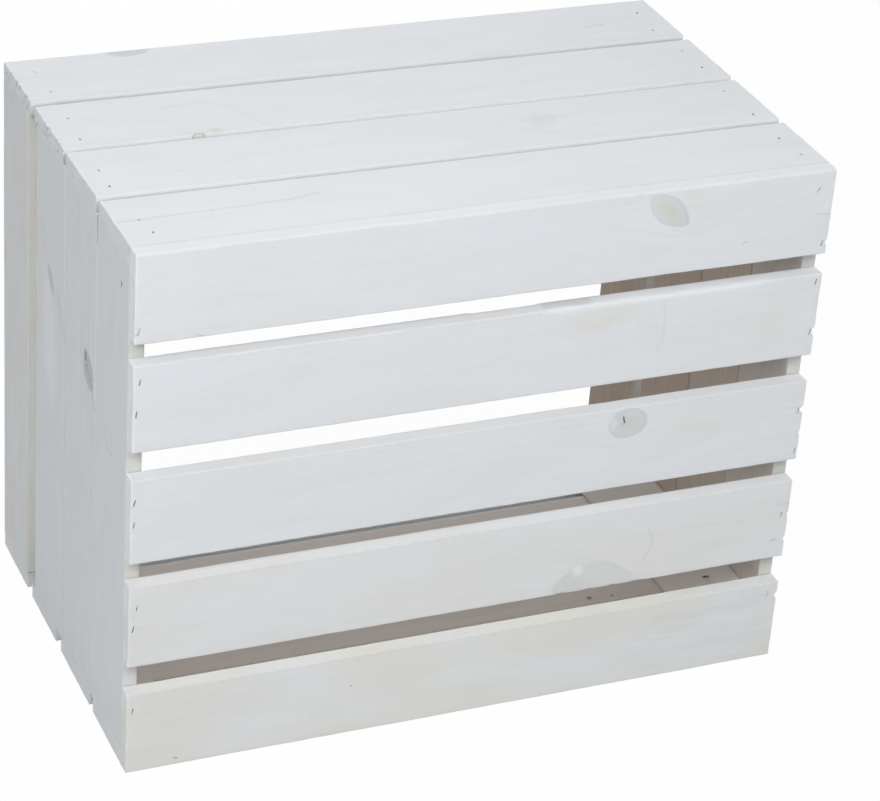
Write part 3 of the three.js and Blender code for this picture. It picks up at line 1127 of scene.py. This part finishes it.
@dataclass
class Fastener:
    """One staple or brad: the point of the face that it was driven through, and the way out of the wood."""

    place: np.ndarray
    outward: int
    sign: int
    tilt: float = 0.0
    covered: bool = False  # driven deep and glazed over


GLAZED_STAPLES = {
    "slat_staple_5_left_2", "slat_staple_1_left_2", "slat_staple_1_right_2", "slat_staple_2_right_2",
}
SKEW_STAPLES = {"slat_staple_5_right_1": -40.0}  # degrees


def staples_in_frame():
    """The slats' staples, where the frame has them, each tilted a little by the hand that held the gun."""
    rng = random.Random(7)
    found = []
    front = box_mm("base_slat_1")[0][Y]
    for node in nodes_named("slat_staple"):
        low, high = box_mm(node)
        middle = (low + high) / 2
        middle[Y] = front
        tilt = SKEW_STAPLES.get(node, rng.uniform(-15, -6))
        found.append(Fastener(middle, Y, -1, tilt, node in GLAZED_STAPLES))
    return found


def brads_in_frame():
    """The frame's own brads in the top boards, and the ones that it leaves out: two at each end of each
    bottom board and end board, one more in a left end board and in a top board, and one low in a slat."""
    rng = random.Random(11)
    found = []
    top = box_mm("top_board_1")[1][Z]
    for node in nodes_named("top_brad"):
        low, high = box_mm(node)
        middle = (low + high) / 2
        middle[Z] = top
        found.append(Fastener(middle, Z, 1, 90 + rng.uniform(-35, 35)))
    past_end = Board("left_end_board_1").size[2]
    for board in map(Board, nodes_named("bottom_board")):
        for end in (-1, 1):
            for share in (0.22, 0.7):
                inset = past_end + rng.uniform(3, 8)
                share += rng.uniform(-0.06, 0.06)
                found.append(brad_on(board, end, inset, share, rng.uniform(0, 180)))
    for kind in ("left_end_board", "right_end_board"):
        for board in map(Board, nodes_named(kind)):
            for end in (-1, 1):
                for share in (0.25, 0.72):
                    inset, tilt = 21 + rng.uniform(-4, 4), rng.uniform(0, 180)
                    brad = brad_on(board, end, inset, share + rng.uniform(-0.06, 0.06), tilt)
                    brad.covered = rng.random() < 0.6 if kind == "right_end_board" else True
                    found.append(brad)
    found.append(brad_on(Board("left_end_board_1"), 1, 23, 0.25, 70))
    found.append(brad_on(Board("top_board_4"), 1, past_end + 5.0, 0.68, 80))
    found.append(brad_on(Board("base_slat_1"), -1, 36.3, 0.085, 60))
    return found


def brad_on(board, end, inset, share, tilt):
    """A brad in a board's outer face, by its distance from one end and its share of the board's width."""
    face = board.face
    place = np.empty(3)
    place[face.along] = board.high[face.along] - inset if end > 0 else board.low[face.along] + inset
    place[face.across] = board.low[face.across] + share * board.size[1]
    place[face.outward] = board.start[2]
    return Fastener(place, face.outward, face.sign, tilt)


def outward_turn(fastener):
    """The rotation that takes a fastener from upright, with its crown along X, to where it was driven."""
    if fastener.outward == Z:
        stand = Matrix.Identity(3) if fastener.sign > 0 else Matrix.Rotation(math.pi, 3, "Y")
    elif fastener.outward == Y:
        stand = Matrix.Rotation(math.pi / 2, 3, "X") @ Matrix.Rotation(math.pi / 2, 3, "Z")
    else:
        stand = Matrix.Rotation(fastener.sign * math.pi / 2, 3, "Y")
    return stand @ Matrix.Rotation(math.radians(fastener.tilt), 3, "Z")


def recess_cutter(context, name, fasteners, wide, thick, deep, sides):
    """One mesh that cuts the mouths of all these fasteners: slots for crowns and round holes for heads."""
    points, faces, above = [], [], 1.0
    for fastener in fasteners:
        turn = np.array(outward_turn(fastener))
        start = len(points)
        for height in (-deep, above):
            for corner in range(sides):
                angle = math.tau * (corner + 0.5) / sides
                flat = np.array([math.cos(angle), math.sin(angle)]) / math.cos(math.pi / sides)
                local = np.array([flat[0] * wide / 2, flat[1] * thick / 2, height])
                points.append(turn @ local + fastener.place)
        ring = range(sides)
        faces.append([start + corner for corner in reversed(ring)])
        faces.append([start + sides + corner for corner in ring])
        for corner in ring:
            after = (corner + 1) % sides
            faces.append([start + corner, start + after, start + sides + after, start + sides + corner])
    return new_object(name, listed_mesh(name, points, faces), context)


def opens(board, fastener):
    """Whether the fastener has an open hole in this board's face."""
    slack = 0.6
    inside = np.all(fastener.place > board.low - slack) and np.all(fastener.place < board.high + slack)
    return inside and fastener.outward == board.face.outward and not fastener.covered


def pins_in(board, growth):
    """The board's pinholes, each as a fastener that isn't there."""
    places = [np.array([[along - board.start[0], across, 0.0]]) for along, across in growth.pinholes]
    return [Fastener(board.to_frame(place)[0], board.face.outward, board.face.sign) for place in places]


def cut_recesses(context, piece, board, growth, settings):
    """Cuts the staples' slots, the brads' holes and the pinholes into a board, and says where they are."""
    room = 2 * settings.clearance / MM
    head = settings.head / MM
    staples = [each for each in staples_in_frame() if opens(board, each)]
    brads = [each for each in brads_in_frame() if opens(board, each)]
    pins = pins_in(board, growth)
    # what is cut, its width, thickness and depth in millimetres, and the number of its sides
    jobs = [
        ("slots", staples, settings.crown / MM * 0.84, settings.wire / MM * 0.7, 2.0, 4),
        ("holes", brads, head + room, head * settings.head_flatness + room, 1.8, 12),
        ("pins", pins, 1.2, 1.2, 2.5, 8),
    ]
    for name, fasteners, wide, thick, deep, sides in jobs:
        if not fasteners:
            continue
        cutter = recess_cutter(context, f"{board.node}_{name}", fasteners, wide, thick, deep, sides)
        modifier = piece.modifiers.new(name, "BOOLEAN")
        modifier.operation, modifier.solver, modifier.object = "DIFFERENCE", "MANIFOLD", cutter
        evaluated = piece.evaluated_get(context.evaluated_depsgraph_get())
        cut = bpy.data.meshes.new_from_object(evaluated)
        piece.modifiers.clear()
        old, piece.data = piece.data, cut
        bpy.data.meshes.remove(old)
        bpy.data.objects.remove(cutter)
    return [*staples, *brads, *pins]


def bare_in_holes(board, local, fasteners):
    """1 on the walls of the holes, where there is hardly any glaze."""
    bare = np.zeros(len(local))
    for fastener in fasteners:
        middle = board.to_board(fastener.place[None, :])[0]
        near = np.hypot(local[:, 0] - middle[0], local[:, 1] - middle[1]) < 3.6
        bare = np.maximum(bare, near * smooth(local[:, 2], 0.4, 1.2) * (local[:, 2] < 3.0))
    from_rim = np.minimum(local[:, :2], board.size[:2] - local[:, :2]).min(axis=1)
    return bare * smooth(from_rim, 1.2, 2.4)


def finish_wood(context, mesh, fields, slot):
    """Gives a piece of wood all that its finish reads, and the finish."""
    for name, values in fields.items():
        give_attribute(mesh, name, values)
    smooth_but_creased(mesh)
    mesh.materials.clear()
    mesh.materials.append(finish_for(context, slot))


def make_board(context, node, spacing):
    """One glazed board, in the place of its node."""
    settings = context.scene.kindling_box
    board = Board(node)
    growth = growth_of(board)
    points, faces = board_points(board, growth, settings.boards, spacing)
    piece = new_object(f"glazed_{node}", new_mesh(f"glazed_{node}", board.to_frame(points), faces), context)
    fasteners = cut_recesses(context, piece, board, growth, settings.fasteners)
    local = board.to_board(points_of(piece.data))
    along = local[:, 0] + board.start[0]
    fields = wood_fields(growth, board.seed, local, along)
    fields["coat"] = coat_and_painted_shade_on(board, local) * (1 - bare_in_holes(board, local, fasteners))
    from_end = np.minimum(local[:, 0], board.size[0] - local[:, 0])
    fields["end_grain"] = (1 - smooth(from_end, 0.5, 1.4)) * growth.end_figure * END_FIGURE
    tint_and_shade_edges(board, growth, local, along, fields["patch"])
    finish_wood(context, piece.data, fields, board.face.slot)
    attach(piece, "root")
    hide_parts(node)


def make_boards(context, kind, behind=False):
    """All the boards on one face of the box; those that show little have fewer points."""
    settings = context.scene.kindling_box.boards
    spacing = (settings.spacing_behind if behind else settings.spacing) / MM
    for node in nodes_named(kind):
        make_board(context, node, spacing)


# ---------------------------------------------------------------------------------------- the posts

POST_TIP = 2.5  # the flat where a post's sharp corners are cut off
POST_EASE, POST_END_EASE = 0.8, 0.7  # rounding along a post and round its ends
POST_SPACING = 4.0  # between the rings of points along a post
POST_COAT = 0.5


def post_section(leg, steps=4):
    """The rounded outline of a corner post, from its right angle at the origin towards -u and -v."""
    corners = [(0, 0), (-leg, 0), (-leg, -POST_TIP), (-POST_TIP, -leg), (0, -leg)]
    outline = []
    for index, corner in enumerate(corners):
        here = np.array(corner, float)
        before = np.array(corners[index - 1], float) - here
        after = np.array(corners[(index + 1) % len(corners)], float) - here
        before, after = before / np.linalg.norm(before), after / np.linalg.norm(after)
        half = math.acos(np.clip(before @ after, -1, 1)) / 2
        reach = min(POST_EASE / math.tan(half), POST_TIP * 0.45)
        radius = reach * math.tan(half)
        middle = here + (before + after) / np.linalg.norm(before + after) * radius / math.sin(half)
        start, stop = here + before * reach - middle, here + after * reach - middle
        first, last = math.atan2(start[1], start[0]), math.atan2(stop[1], stop[0])
        last += math.tau * round((first - last) / math.tau)
        for step in range(steps + 1):
            angle = first + (last - first) * step / steps
            outline.append(middle + radius * np.array([math.cos(angle), math.sin(angle)]))
    dense = []
    for start, stop in zip(outline, outline[1:] + outline[:1]):
        count = max(1, round(np.linalg.norm(stop - start) / 3.0))
        dense += [start + (stop - start) * share / count for share in range(count)]
    return np.array(dense)


def post_rings(section, length):
    """The rings of points round a post, from the middle of one end along its length to that of the other."""
    heart = section.mean(axis=0)
    widest = np.linalg.norm(section - heart, axis=1).max()
    runs = np.concatenate([
        [0, POST_END_EASE * 0.3],
        np.linspace(POST_END_EASE, length - POST_END_EASE, round(length / POST_SPACING)),
        [length - POST_END_EASE * 0.3, length],
    ])
    cap = np.linspace(0.08, 1, 8)[:-1]
    stops = [(0.0, share) for share in cap] + [(run, 1.0) for run in runs]
    stops += [(length, share) for share in cap[::-1]]
    rings = []
    for run, share in stops:
        inset = max(0.0, 1 - min(run, length - run) / POST_END_EASE) ** 2 * 0.5
        ring = heart + (section - heart) * share
        ring = ring - (ring - heart) / widest * inset
        rings.append(np.column_stack([ring[:, 0], np.full(len(ring), run), ring[:, 1]]))
    return rings


def ring_faces(rings):
    """The faces that join rings of points, and one that closes each end."""
    around = len(rings[0])
    quads = []
    for number in range(len(rings) - 1):
        here = np.arange(around) + number * around
        after = np.roll(here, -1)
        quads.append(np.column_stack([here, here + around, after + around, after]))
    faces = [tuple(face) for face in np.concatenate(quads)]
    last = (len(rings) - 1) * around
    return [*faces, tuple(range(around)), tuple(range(last + around - 1, last - 1, -1))]


def make_post(context, corner, signs):
    """One three-cornered post in a corner of the box."""
    node = f"corner_post_{corner}"
    low, high = box_mm(node)
    rng = random.Random(zlib.crc32(node.encode()))
    leg, length = high[X] - low[X], high[Y] - low[Y]
    rings = post_rings(post_section(leg), length)
    faces = ring_faces(rings)
    points = np.concatenate(rings)
    rough = 0.18 * wavy(rng, points[:, [0, 2]] * 0.2 + points[:, [1]], 17.0)
    sloping = smooth(-(points[:, 0] + points[:, 2]), leg - 3, leg)
    points[:, [0, 2]] += (np.clip(rough, -0.3, 0.3) + 0.25)[:, None] * sloping[:, None] * 0.5
    right_angle = [(high if signs[0] > 0 else low)[X], low[Y], (high if signs[1] > 0 else low)[Z]]
    place = right_angle + points * [signs[0], 1, signs[1]]
    if signs[0] * signs[1] < 0:
        faces = [face[::-1] for face in faces]
    piece = new_object(f"sawn_{node}", listed_mesh(f"sawn_{node}", place, faces), context)
    local = np.column_stack([points[:, 1], points[:, 0] + leg, points[:, 2] + leg])
    knot_size = rng.uniform(40, 260), rng.uniform(5, 30), rng.uniform(8, 16), rng.uniform(7, 12)
    growth = Growth(
        rng.uniform(-30, 60), rng.uniform(-50, 60), rng.uniform(-0.04, 0.04), rng.uniform(2, 3),
        knots=[Knot(*knot_size, tone=0.3, bare=0.1)],
    )
    fields = wood_fields(growth, rng.randint(0, 9999), local, points[:, 1])
    fields["coat"] = np.full(len(points), POST_COAT)
    finish_wood(context, piece.data, fields, "post_wood")
    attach(piece, "root")
    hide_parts(node)


# ------------------------------------------------------------------------ staples and brads in rows


def named_input(tree, name, kind, default=None):
    socket = tree.interface.new_socket(name=name, in_out="INPUT", socket_type=kind)
    if default is not None:
        socket.default_value = default


def picked(nodes, index, values):
    """The value that stands at this index of a short list."""
    node = nodes.tree.nodes.new("GeometryNodeIndexSwitch")
    node.data_type = "FLOAT"
    while len(node.index_switch_items) < len(values):
        node.index_switch_items.new()
    nodes.tree.links.new(index.socket, node.inputs["Index"])
    for socket, value in zip(node.inputs[1:], values):
        if isinstance(value, Value):
            nodes.tree.links.new(value.socket, socket)
        else:
            socket.default_value = value
    return Value(nodes, node.outputs[0])


def driven_tree(name, inputs, shape):
    """A geometry tree that sets one fastener on each point of its mesh, turned as the point's `facing` says.
    shape(nodes, sizes) makes the fastener upright at the origin, with the wood's face at height 0."""
    tree = bpy.data.node_groups.new(name, "GeometryNodeTree")
    tree.interface.new_socket(name="Geometry", in_out="OUTPUT", socket_type="NodeSocketGeometry")
    named_input(tree, "Geometry", "NodeSocketGeometry")
    for label, default in inputs.items():
        named_input(tree, label, "NodeSocketFloat", default)
    named_input(tree, "Seed", "NodeSocketInt", 3)
    named_input(tree, "Material", "NodeSocketMaterial")
    nodes = Nodes(tree)
    group = nodes.add("NodeGroupInput").socket.node
    sizes = {socket.name: Value(nodes, socket) for socket in group.outputs if socket.name}
    fastener = shape(nodes, sizes)
    facing = nodes.add("GeometryNodeInputNamedAttribute", {"data_type": "FLOAT_VECTOR"}, {"Name": "facing"})
    rotation = nodes.add("FunctionNodeEulerToRotation", sockets={"Euler": facing})
    set_out = nodes.add("GeometryNodeInstanceOnPoints", sockets={
        "Points": sizes["Geometry"], "Instance": fastener, "Rotation": rotation,
    })
    slight = 0.03  # radians
    lean = nodes.add("FunctionNodeRandomValue", {"data_type": "FLOAT_VECTOR"}, {
        "Min": (-slight, -slight, 0.0), "Max": (slight, slight, 0.0), "Seed": sizes["Seed"],
    })
    leaning = nodes.add("GeometryNodeRotateInstances", sockets={
        "Instances": set_out, "Rotation": nodes.add("FunctionNodeEulerToRotation", sockets={"Euler": lean}),
    })
    real = nodes.add("GeometryNodeRealizeInstances", sockets={"Geometry": leaning})
    finished = nodes.add("GeometryNodeSetMaterial", sockets={"Geometry": real, "Material": sizes["Material"]})
    nodes.add("NodeGroupOutput", sockets={"Geometry": finished})
    return tree


def path_through(nodes, across, heights):
    """An open curve through points given by their place across and their height."""
    line = nodes.add("GeometryNodeMeshLine", sockets={"Count": len(heights)})
    index = nodes.add("GeometryNodeInputIndex")
    place = nodes.add("ShaderNodeCombineXYZ", sockets={
        "X": picked(nodes, index, across), "Z": picked(nodes, index, heights),
    })
    bent = nodes.add("GeometryNodeSetPosition", sockets={"Geometry": line, "Position": place})
    return nodes.add("GeometryNodeMeshToCurve", sockets={"Mesh": bent})


def staple_shape(nodes, sizes):
    """A staple: square wire bent over two legs."""
    half, wire = sizes["Crown"] * 0.5 - sizes["Wire"] * 0.5, sizes["Wire"]
    back = 0 - sizes["Sink"] - wire * 0.5
    tip = 0 - sizes["Sink"] - sizes["Leg"]
    path = path_through(nodes, [0 - half, 0 - half, half, half], [tip, back, back, tip])
    bent = nodes.add("GeometryNodeFilletCurve", {"mode": "POLY"}, {
        "Curve": path, "Radius": wire * 0.7, "Count": 4, "Limit Radius": True,
    })
    section = nodes.add("GeometryNodeCurvePrimitiveQuadrilateral", sockets={"Width": wire, "Height": wire})
    section = nodes.add("GeometryNodeFilletCurve", {"mode": "POLY"}, {
        "Curve": section, "Radius": wire * 0.2, "Count": 2, "Limit Radius": True,
    })
    return nodes.add("GeometryNodeCurveToMesh", sockets={
        "Curve": bent, "Profile Curve": section, "Fill Caps": True,
    })


def brad_shape(nodes, sizes):
    """A brad: a small domed head on a thin shank with a point."""
    head, shank = sizes["Head"] * 0.5, sizes["Shank"] * 0.5
    top = 0 - sizes["Sink"]
    tip = top - sizes["Length"]
    heights = [top, top - 0.05 * MM, top - 0.25 * MM, top - 0.7 * MM, top - 0.85 * MM, tip + 2.4 * MM, tip]
    radii = [head * 0.7, head * 0.92, head, head, shank, shank, shank * 0.12]
    path = path_through(nodes, [0.0] * len(heights), heights)
    index = nodes.add("GeometryNodeInputIndex")
    circle = nodes.add("GeometryNodeCurvePrimitiveCircle", sockets={"Resolution": 14, "Radius": 1.0})
    brad = nodes.add("GeometryNodeCurveToMesh", sockets={
        "Curve": path, "Profile Curve": circle, "Scale": picked(nodes, index, radii), "Fill Caps": True,
    })
    flattened = nodes.add("ShaderNodeCombineXYZ", sockets={"X": 1.0, "Y": sizes["Flatness"], "Z": 1.0})
    return nodes.add("GeometryNodeTransform", sockets={"Geometry": brad, "Scale": flattened})


def drive(context, name, fasteners, tree, sizes, slot, nodes_replaced):
    """Sets the fasteners of a tree on their places and keeps the result as one plain mesh."""
    mesh = listed_mesh(f"{name}_places", [each.place for each in fasteners])
    places = new_object(f"{name}_places", mesh, context)
    give_attribute(mesh, "facing", np.array([outward_turn(each).to_euler() for each in fasteners]))
    modifier = places.modifiers.new(name, "NODES")
    modifier.node_group = tree
    identifiers = {item.name: item.identifier for item in tree.interface.items_tree if item.in_out == "INPUT"}
    for label, value in sizes.items():
        modifier[identifiers[label]] = value
    modifier[identifiers["Material"]] = finish_for(context, slot)
    evaluated = places.evaluated_get(context.evaluated_depsgraph_get())
    made = bpy.data.meshes.new_from_object(evaluated)
    bpy.data.objects.remove(places)
    if not made.polygons:
        raise RuntimeError(f"{name}: the geometry tree made nothing")
    made.name = name
    smooth_but_creased(made)
    piece = new_object(name, made, context)
    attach(piece, "root")
    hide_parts(*nodes_replaced)


# ---------------------------------------------------------------------------------------- the stage


def white_to_camera(nodes, shader, white, share):
    """A shader that the camera, and mirrors and glass, see as a share of white; white is the node's type."""
    path = nodes.add("ShaderNodeLightPath").socket.node
    rays = [Value(nodes, path.outputs[f"Is {ray} Ray"]) for ray in ("Camera", "Glossy", "Transmission")]
    seen = rays[0].at_least(rays[1]).at_least(rays[2])
    plain = nodes.add(white, sockets={"Color": (1, 1, 1, 1), "Strength": 1.0})
    return nodes.add("ShaderNodeMixShader", sockets={0: seen * share, 1: shader, 2: plain})


def make_floor(context, settings):
    material, nodes = new_material("pale_floor")
    place = nodes.add("ShaderNodeTexCoord", output="Object")
    colour = nodes.mix(nodes.noise(place), (0.73, 0.73, 0.73), (0.77, 0.77, 0.77))
    matt = nodes.add("ShaderNodeBsdfPrincipled", sockets={"Base Color": colour, "Roughness": 0.9})
    surface = white_to_camera(nodes, matt, "ShaderNodeEmission", settings.whiteness)
    nodes.add("ShaderNodeOutputMaterial", sockets={"Surface": surface})
    half = settings.floor_size / MM / 2
    corners = np.array([[-half, -half, 0], [half, -half, 0], [half, half, 0], [-half, half, 0]], float)
    floor = new_object("floor", new_mesh("floor", corners, np.array([[0, 1, 2, 3]])), context)
    floor.data.materials.append(material)


def make_sky(context, settings):
    """Soft light from above, from behind and from the sides, and plain white where the camera sees it."""
    world = bpy.data.worlds.new("studio")
    world.use_nodes = True
    world.node_tree.nodes.clear()
    context.scene.world = world
    nodes = Nodes(world.node_tree)
    right, back, up = nodes.parts(nodes.add("ShaderNodeTexCoord", output="Generated"))
    strengths = ((up, 0.43), (back, 0.9), (right, 0.2), (0 - right, 0.2), (0 - back, 0.05))
    level = sum(way.clamped() * strength for way, strength in strengths)
    sockets = {"Color": (0.96, 0.98, 1.0, 1), "Strength": level * settings.sky}
    sky = nodes.add("ShaderNodeBackground", sockets=sockets)
    surface = white_to_camera(nodes, sky, "ShaderNodeBackground", 1.0)
    nodes.add("ShaderNodeOutputWorld", sockets={"Surface": surface})


def make_lamp(context, name, place, power):
    """A big round softbox that looks at the middle of the box."""
    middle = Vector((0, 0, 0.2))
    lamp = bpy.data.lights.new(name, "AREA")
    lamp.shape, lamp.size, lamp.energy, lamp.color = "DISK", 1.2, power, (0.99, 0.995, 1.0)
    stand = bpy.data.objects.new(name, lamp)
    context.scene.collection.objects.link(stand)
    stand.location = place
    stand.rotation_mode = "QUATERNION"
    stand.rotation_quaternion = (middle - Vector(place)).to_track_quat("-Z", "Y")


def make_camera(context):
    """The photograph's own view: where it was taken from, its direction and the tilt of its horizon."""
    place = Vector((-0.7902, -1.8044, 1.2887))
    aim = Vector((0.0253, -0.0233, 0.1811))
    tilt = math.radians(4.405)
    camera = bpy.data.cameras.new("camera")
    camera.lens, camera.sensor_width = 127.23, 36.0
    stand = bpy.data.objects.new("camera", camera)
    context.scene.collection.objects.link(stand)
    forward = (aim - place).normalized()
    level_right = forward.cross(Vector((0, 0, 1))).normalized()
    right = Matrix.Rotation(-tilt, 3, forward) @ level_right
    axes = Matrix((right, right.cross(forward), -forward)).transposed()
    stand.matrix_world = Matrix.Translation(place) @ axes.to_4x4()
    context.scene.camera = stand


# ------------------------------------------------------------------------------------ the operators


class KINDLINGBOX_OT_stage(bpy.types.Operator):
    """Sets out the floor, the soft light and the camera"""

    bl_idname = "kindling_box.stage"
    bl_label = "Stage"

    def execute(self, context):
        settings = context.scene.kindling_box.stage
        context.scene.view_settings.view_transform = "Standard"
        make_camera(context)
        make_floor(context, settings)
        make_sky(context, settings)
        make_lamp(context, "key_lamp", (-1.1, -1.36, 1.7), settings.key_power)
        make_lamp(context, "fill_lamp", (0.4, -1.5, 1.9), settings.fill_power)
        make_lamp(context, "mouth_lamp", (0.2, 1.35, 0.76), settings.mouth_power)
        return {"FINISHED"}


class KINDLINGBOX_OT_base_slats(bpy.types.Operator):
    """Makes the slats of the base"""

    bl_idname = "kindling_box.base_slats"
    bl_label = "Base slats"

    def execute(self, context):
        make_boards(context, "base_slat")
        return {"FINISHED"}


class KINDLINGBOX_OT_top_boards(bpy.types.Operator):
    """Makes the boards of the side that is uppermost"""

    bl_idname = "kindling_box.top_boards"
    bl_label = "Top boards"

    def execute(self, context):
        make_boards(context, "top_board")
        return {"FINISHED"}


class KINDLINGBOX_OT_bottom_boards(bpy.types.Operator):
    """Makes the boards of the side that the box stands on"""

    bl_idname = "kindling_box.bottom_boards"
    bl_label = "Bottom boards"

    def execute(self, context):
        make_boards(context, "bottom_board", behind=True)
        return {"FINISHED"}


class KINDLINGBOX_OT_end_boards(bpy.types.Operator):
    """Makes the upright boards of both ends"""

    bl_idname = "kindling_box.end_boards"
    bl_label = "End boards"

    def execute(self, context):
        make_boards(context, "left_end_board")
        make_boards(context, "right_end_board", behind=True)
        return {"FINISHED"}


class KINDLINGBOX_OT_corner_posts(bpy.types.Operator):
    """Makes the three-cornered posts that the boards are nailed to"""

    bl_idname = "kindling_box.corner_posts"
    bl_label = "Corner posts"

    def execute(self, context):
        for corner, signs in POST_CORNERS.items():
            make_post(context, corner, signs)
        return {"FINISHED"}


class KINDLINGBOX_OT_staples(bpy.types.Operator):
    """Drives the staples into the slats"""

    bl_idname = "kindling_box.staples"
    bl_label = "Staples"

    def execute(self, context):
        settings = context.scene.kindling_box.fasteners
        sizes = {
            "Crown": settings.crown, "Wire": settings.wire, "Leg": settings.leg, "Sink": settings.staple_sink,
        }
        tree = driven_tree("Driven staples", sizes, staple_shape)
        replaced = nodes_named("slat_staple")
        drive(context, "slat_staples", staples_in_frame(), tree, sizes, "staple_wire", replaced)
        return {"FINISHED"}


class KINDLINGBOX_OT_brads(bpy.types.Operator):
    """Drives the brads into the boards of the sides and ends"""

    bl_idname = "kindling_box.brads"
    bl_label = "Brads"

    def execute(self, context):
        settings = context.scene.kindling_box.fasteners
        sizes = {
            "Length": settings.brad_length, "Head": settings.head, "Shank": settings.shank,
            "Sink": settings.brad_sink, "Flatness": settings.head_flatness,
        }
        tree = driven_tree("Driven brads", sizes, brad_shape)
        drive(context, "board_brads", brads_in_frame(), tree, sizes, "brad_steel", nodes_named("top_brad"))
        return {"FINISHED"}


OPERATORS = (
    KINDLINGBOX_OT_stage,
    KINDLINGBOX_OT_base_slats,
    KINDLINGBOX_OT_top_boards,
    KINDLINGBOX_OT_bottom_boards,
    KINDLINGBOX_OT_end_boards,
    KINDLINGBOX_OT_corner_posts,
    KINDLINGBOX_OT_staples,
    KINDLINGBOX_OT_brads,
)


class KINDLINGBOX_PT_sidebar(bpy.types.Panel):
    """Lists the pieces of the kindling box, with their settings"""

    bl_label = "Kindling box"
    bl_idname = "KINDLINGBOX_PT_sidebar"
    bl_space_type = "VIEW_3D"
    bl_region_type = "UI"
    bl_category = "Kindling box"

    def draw(self, context):
        settings = context.scene.kindling_box
        for operator in OPERATORS:
            self.layout.operator(operator.bl_idname)
        for group in (settings.boards, settings.glaze, settings.fasteners, settings.stage):
            column = self.layout.column()
            for name in group.__annotations__:
                column.prop(group, name)


CLASSES = (
    BoardSettings, GlazeSettings, FastenerSettings, StageSettings, KindlingBoxSettings,
    *OPERATORS, KINDLINGBOX_PT_sidebar,
)


def register():
    for each in CLASSES:
        bpy.utils.register_class(each)
    bpy.types.Scene.kindling_box = bpy.props.PointerProperty(type=KindlingBoxSettings)


def unregister():
    del bpy.types.Scene.kindling_box
    for each in reversed(CLASSES):
        bpy.utils.unregister_class(each)


def main():
    register()
    for operator in OPERATORS:
        category, name = operator.bl_idname.split(".")
        getattr(getattr(bpy.ops, category), name)()


if __name__ == "__main__":
    main()
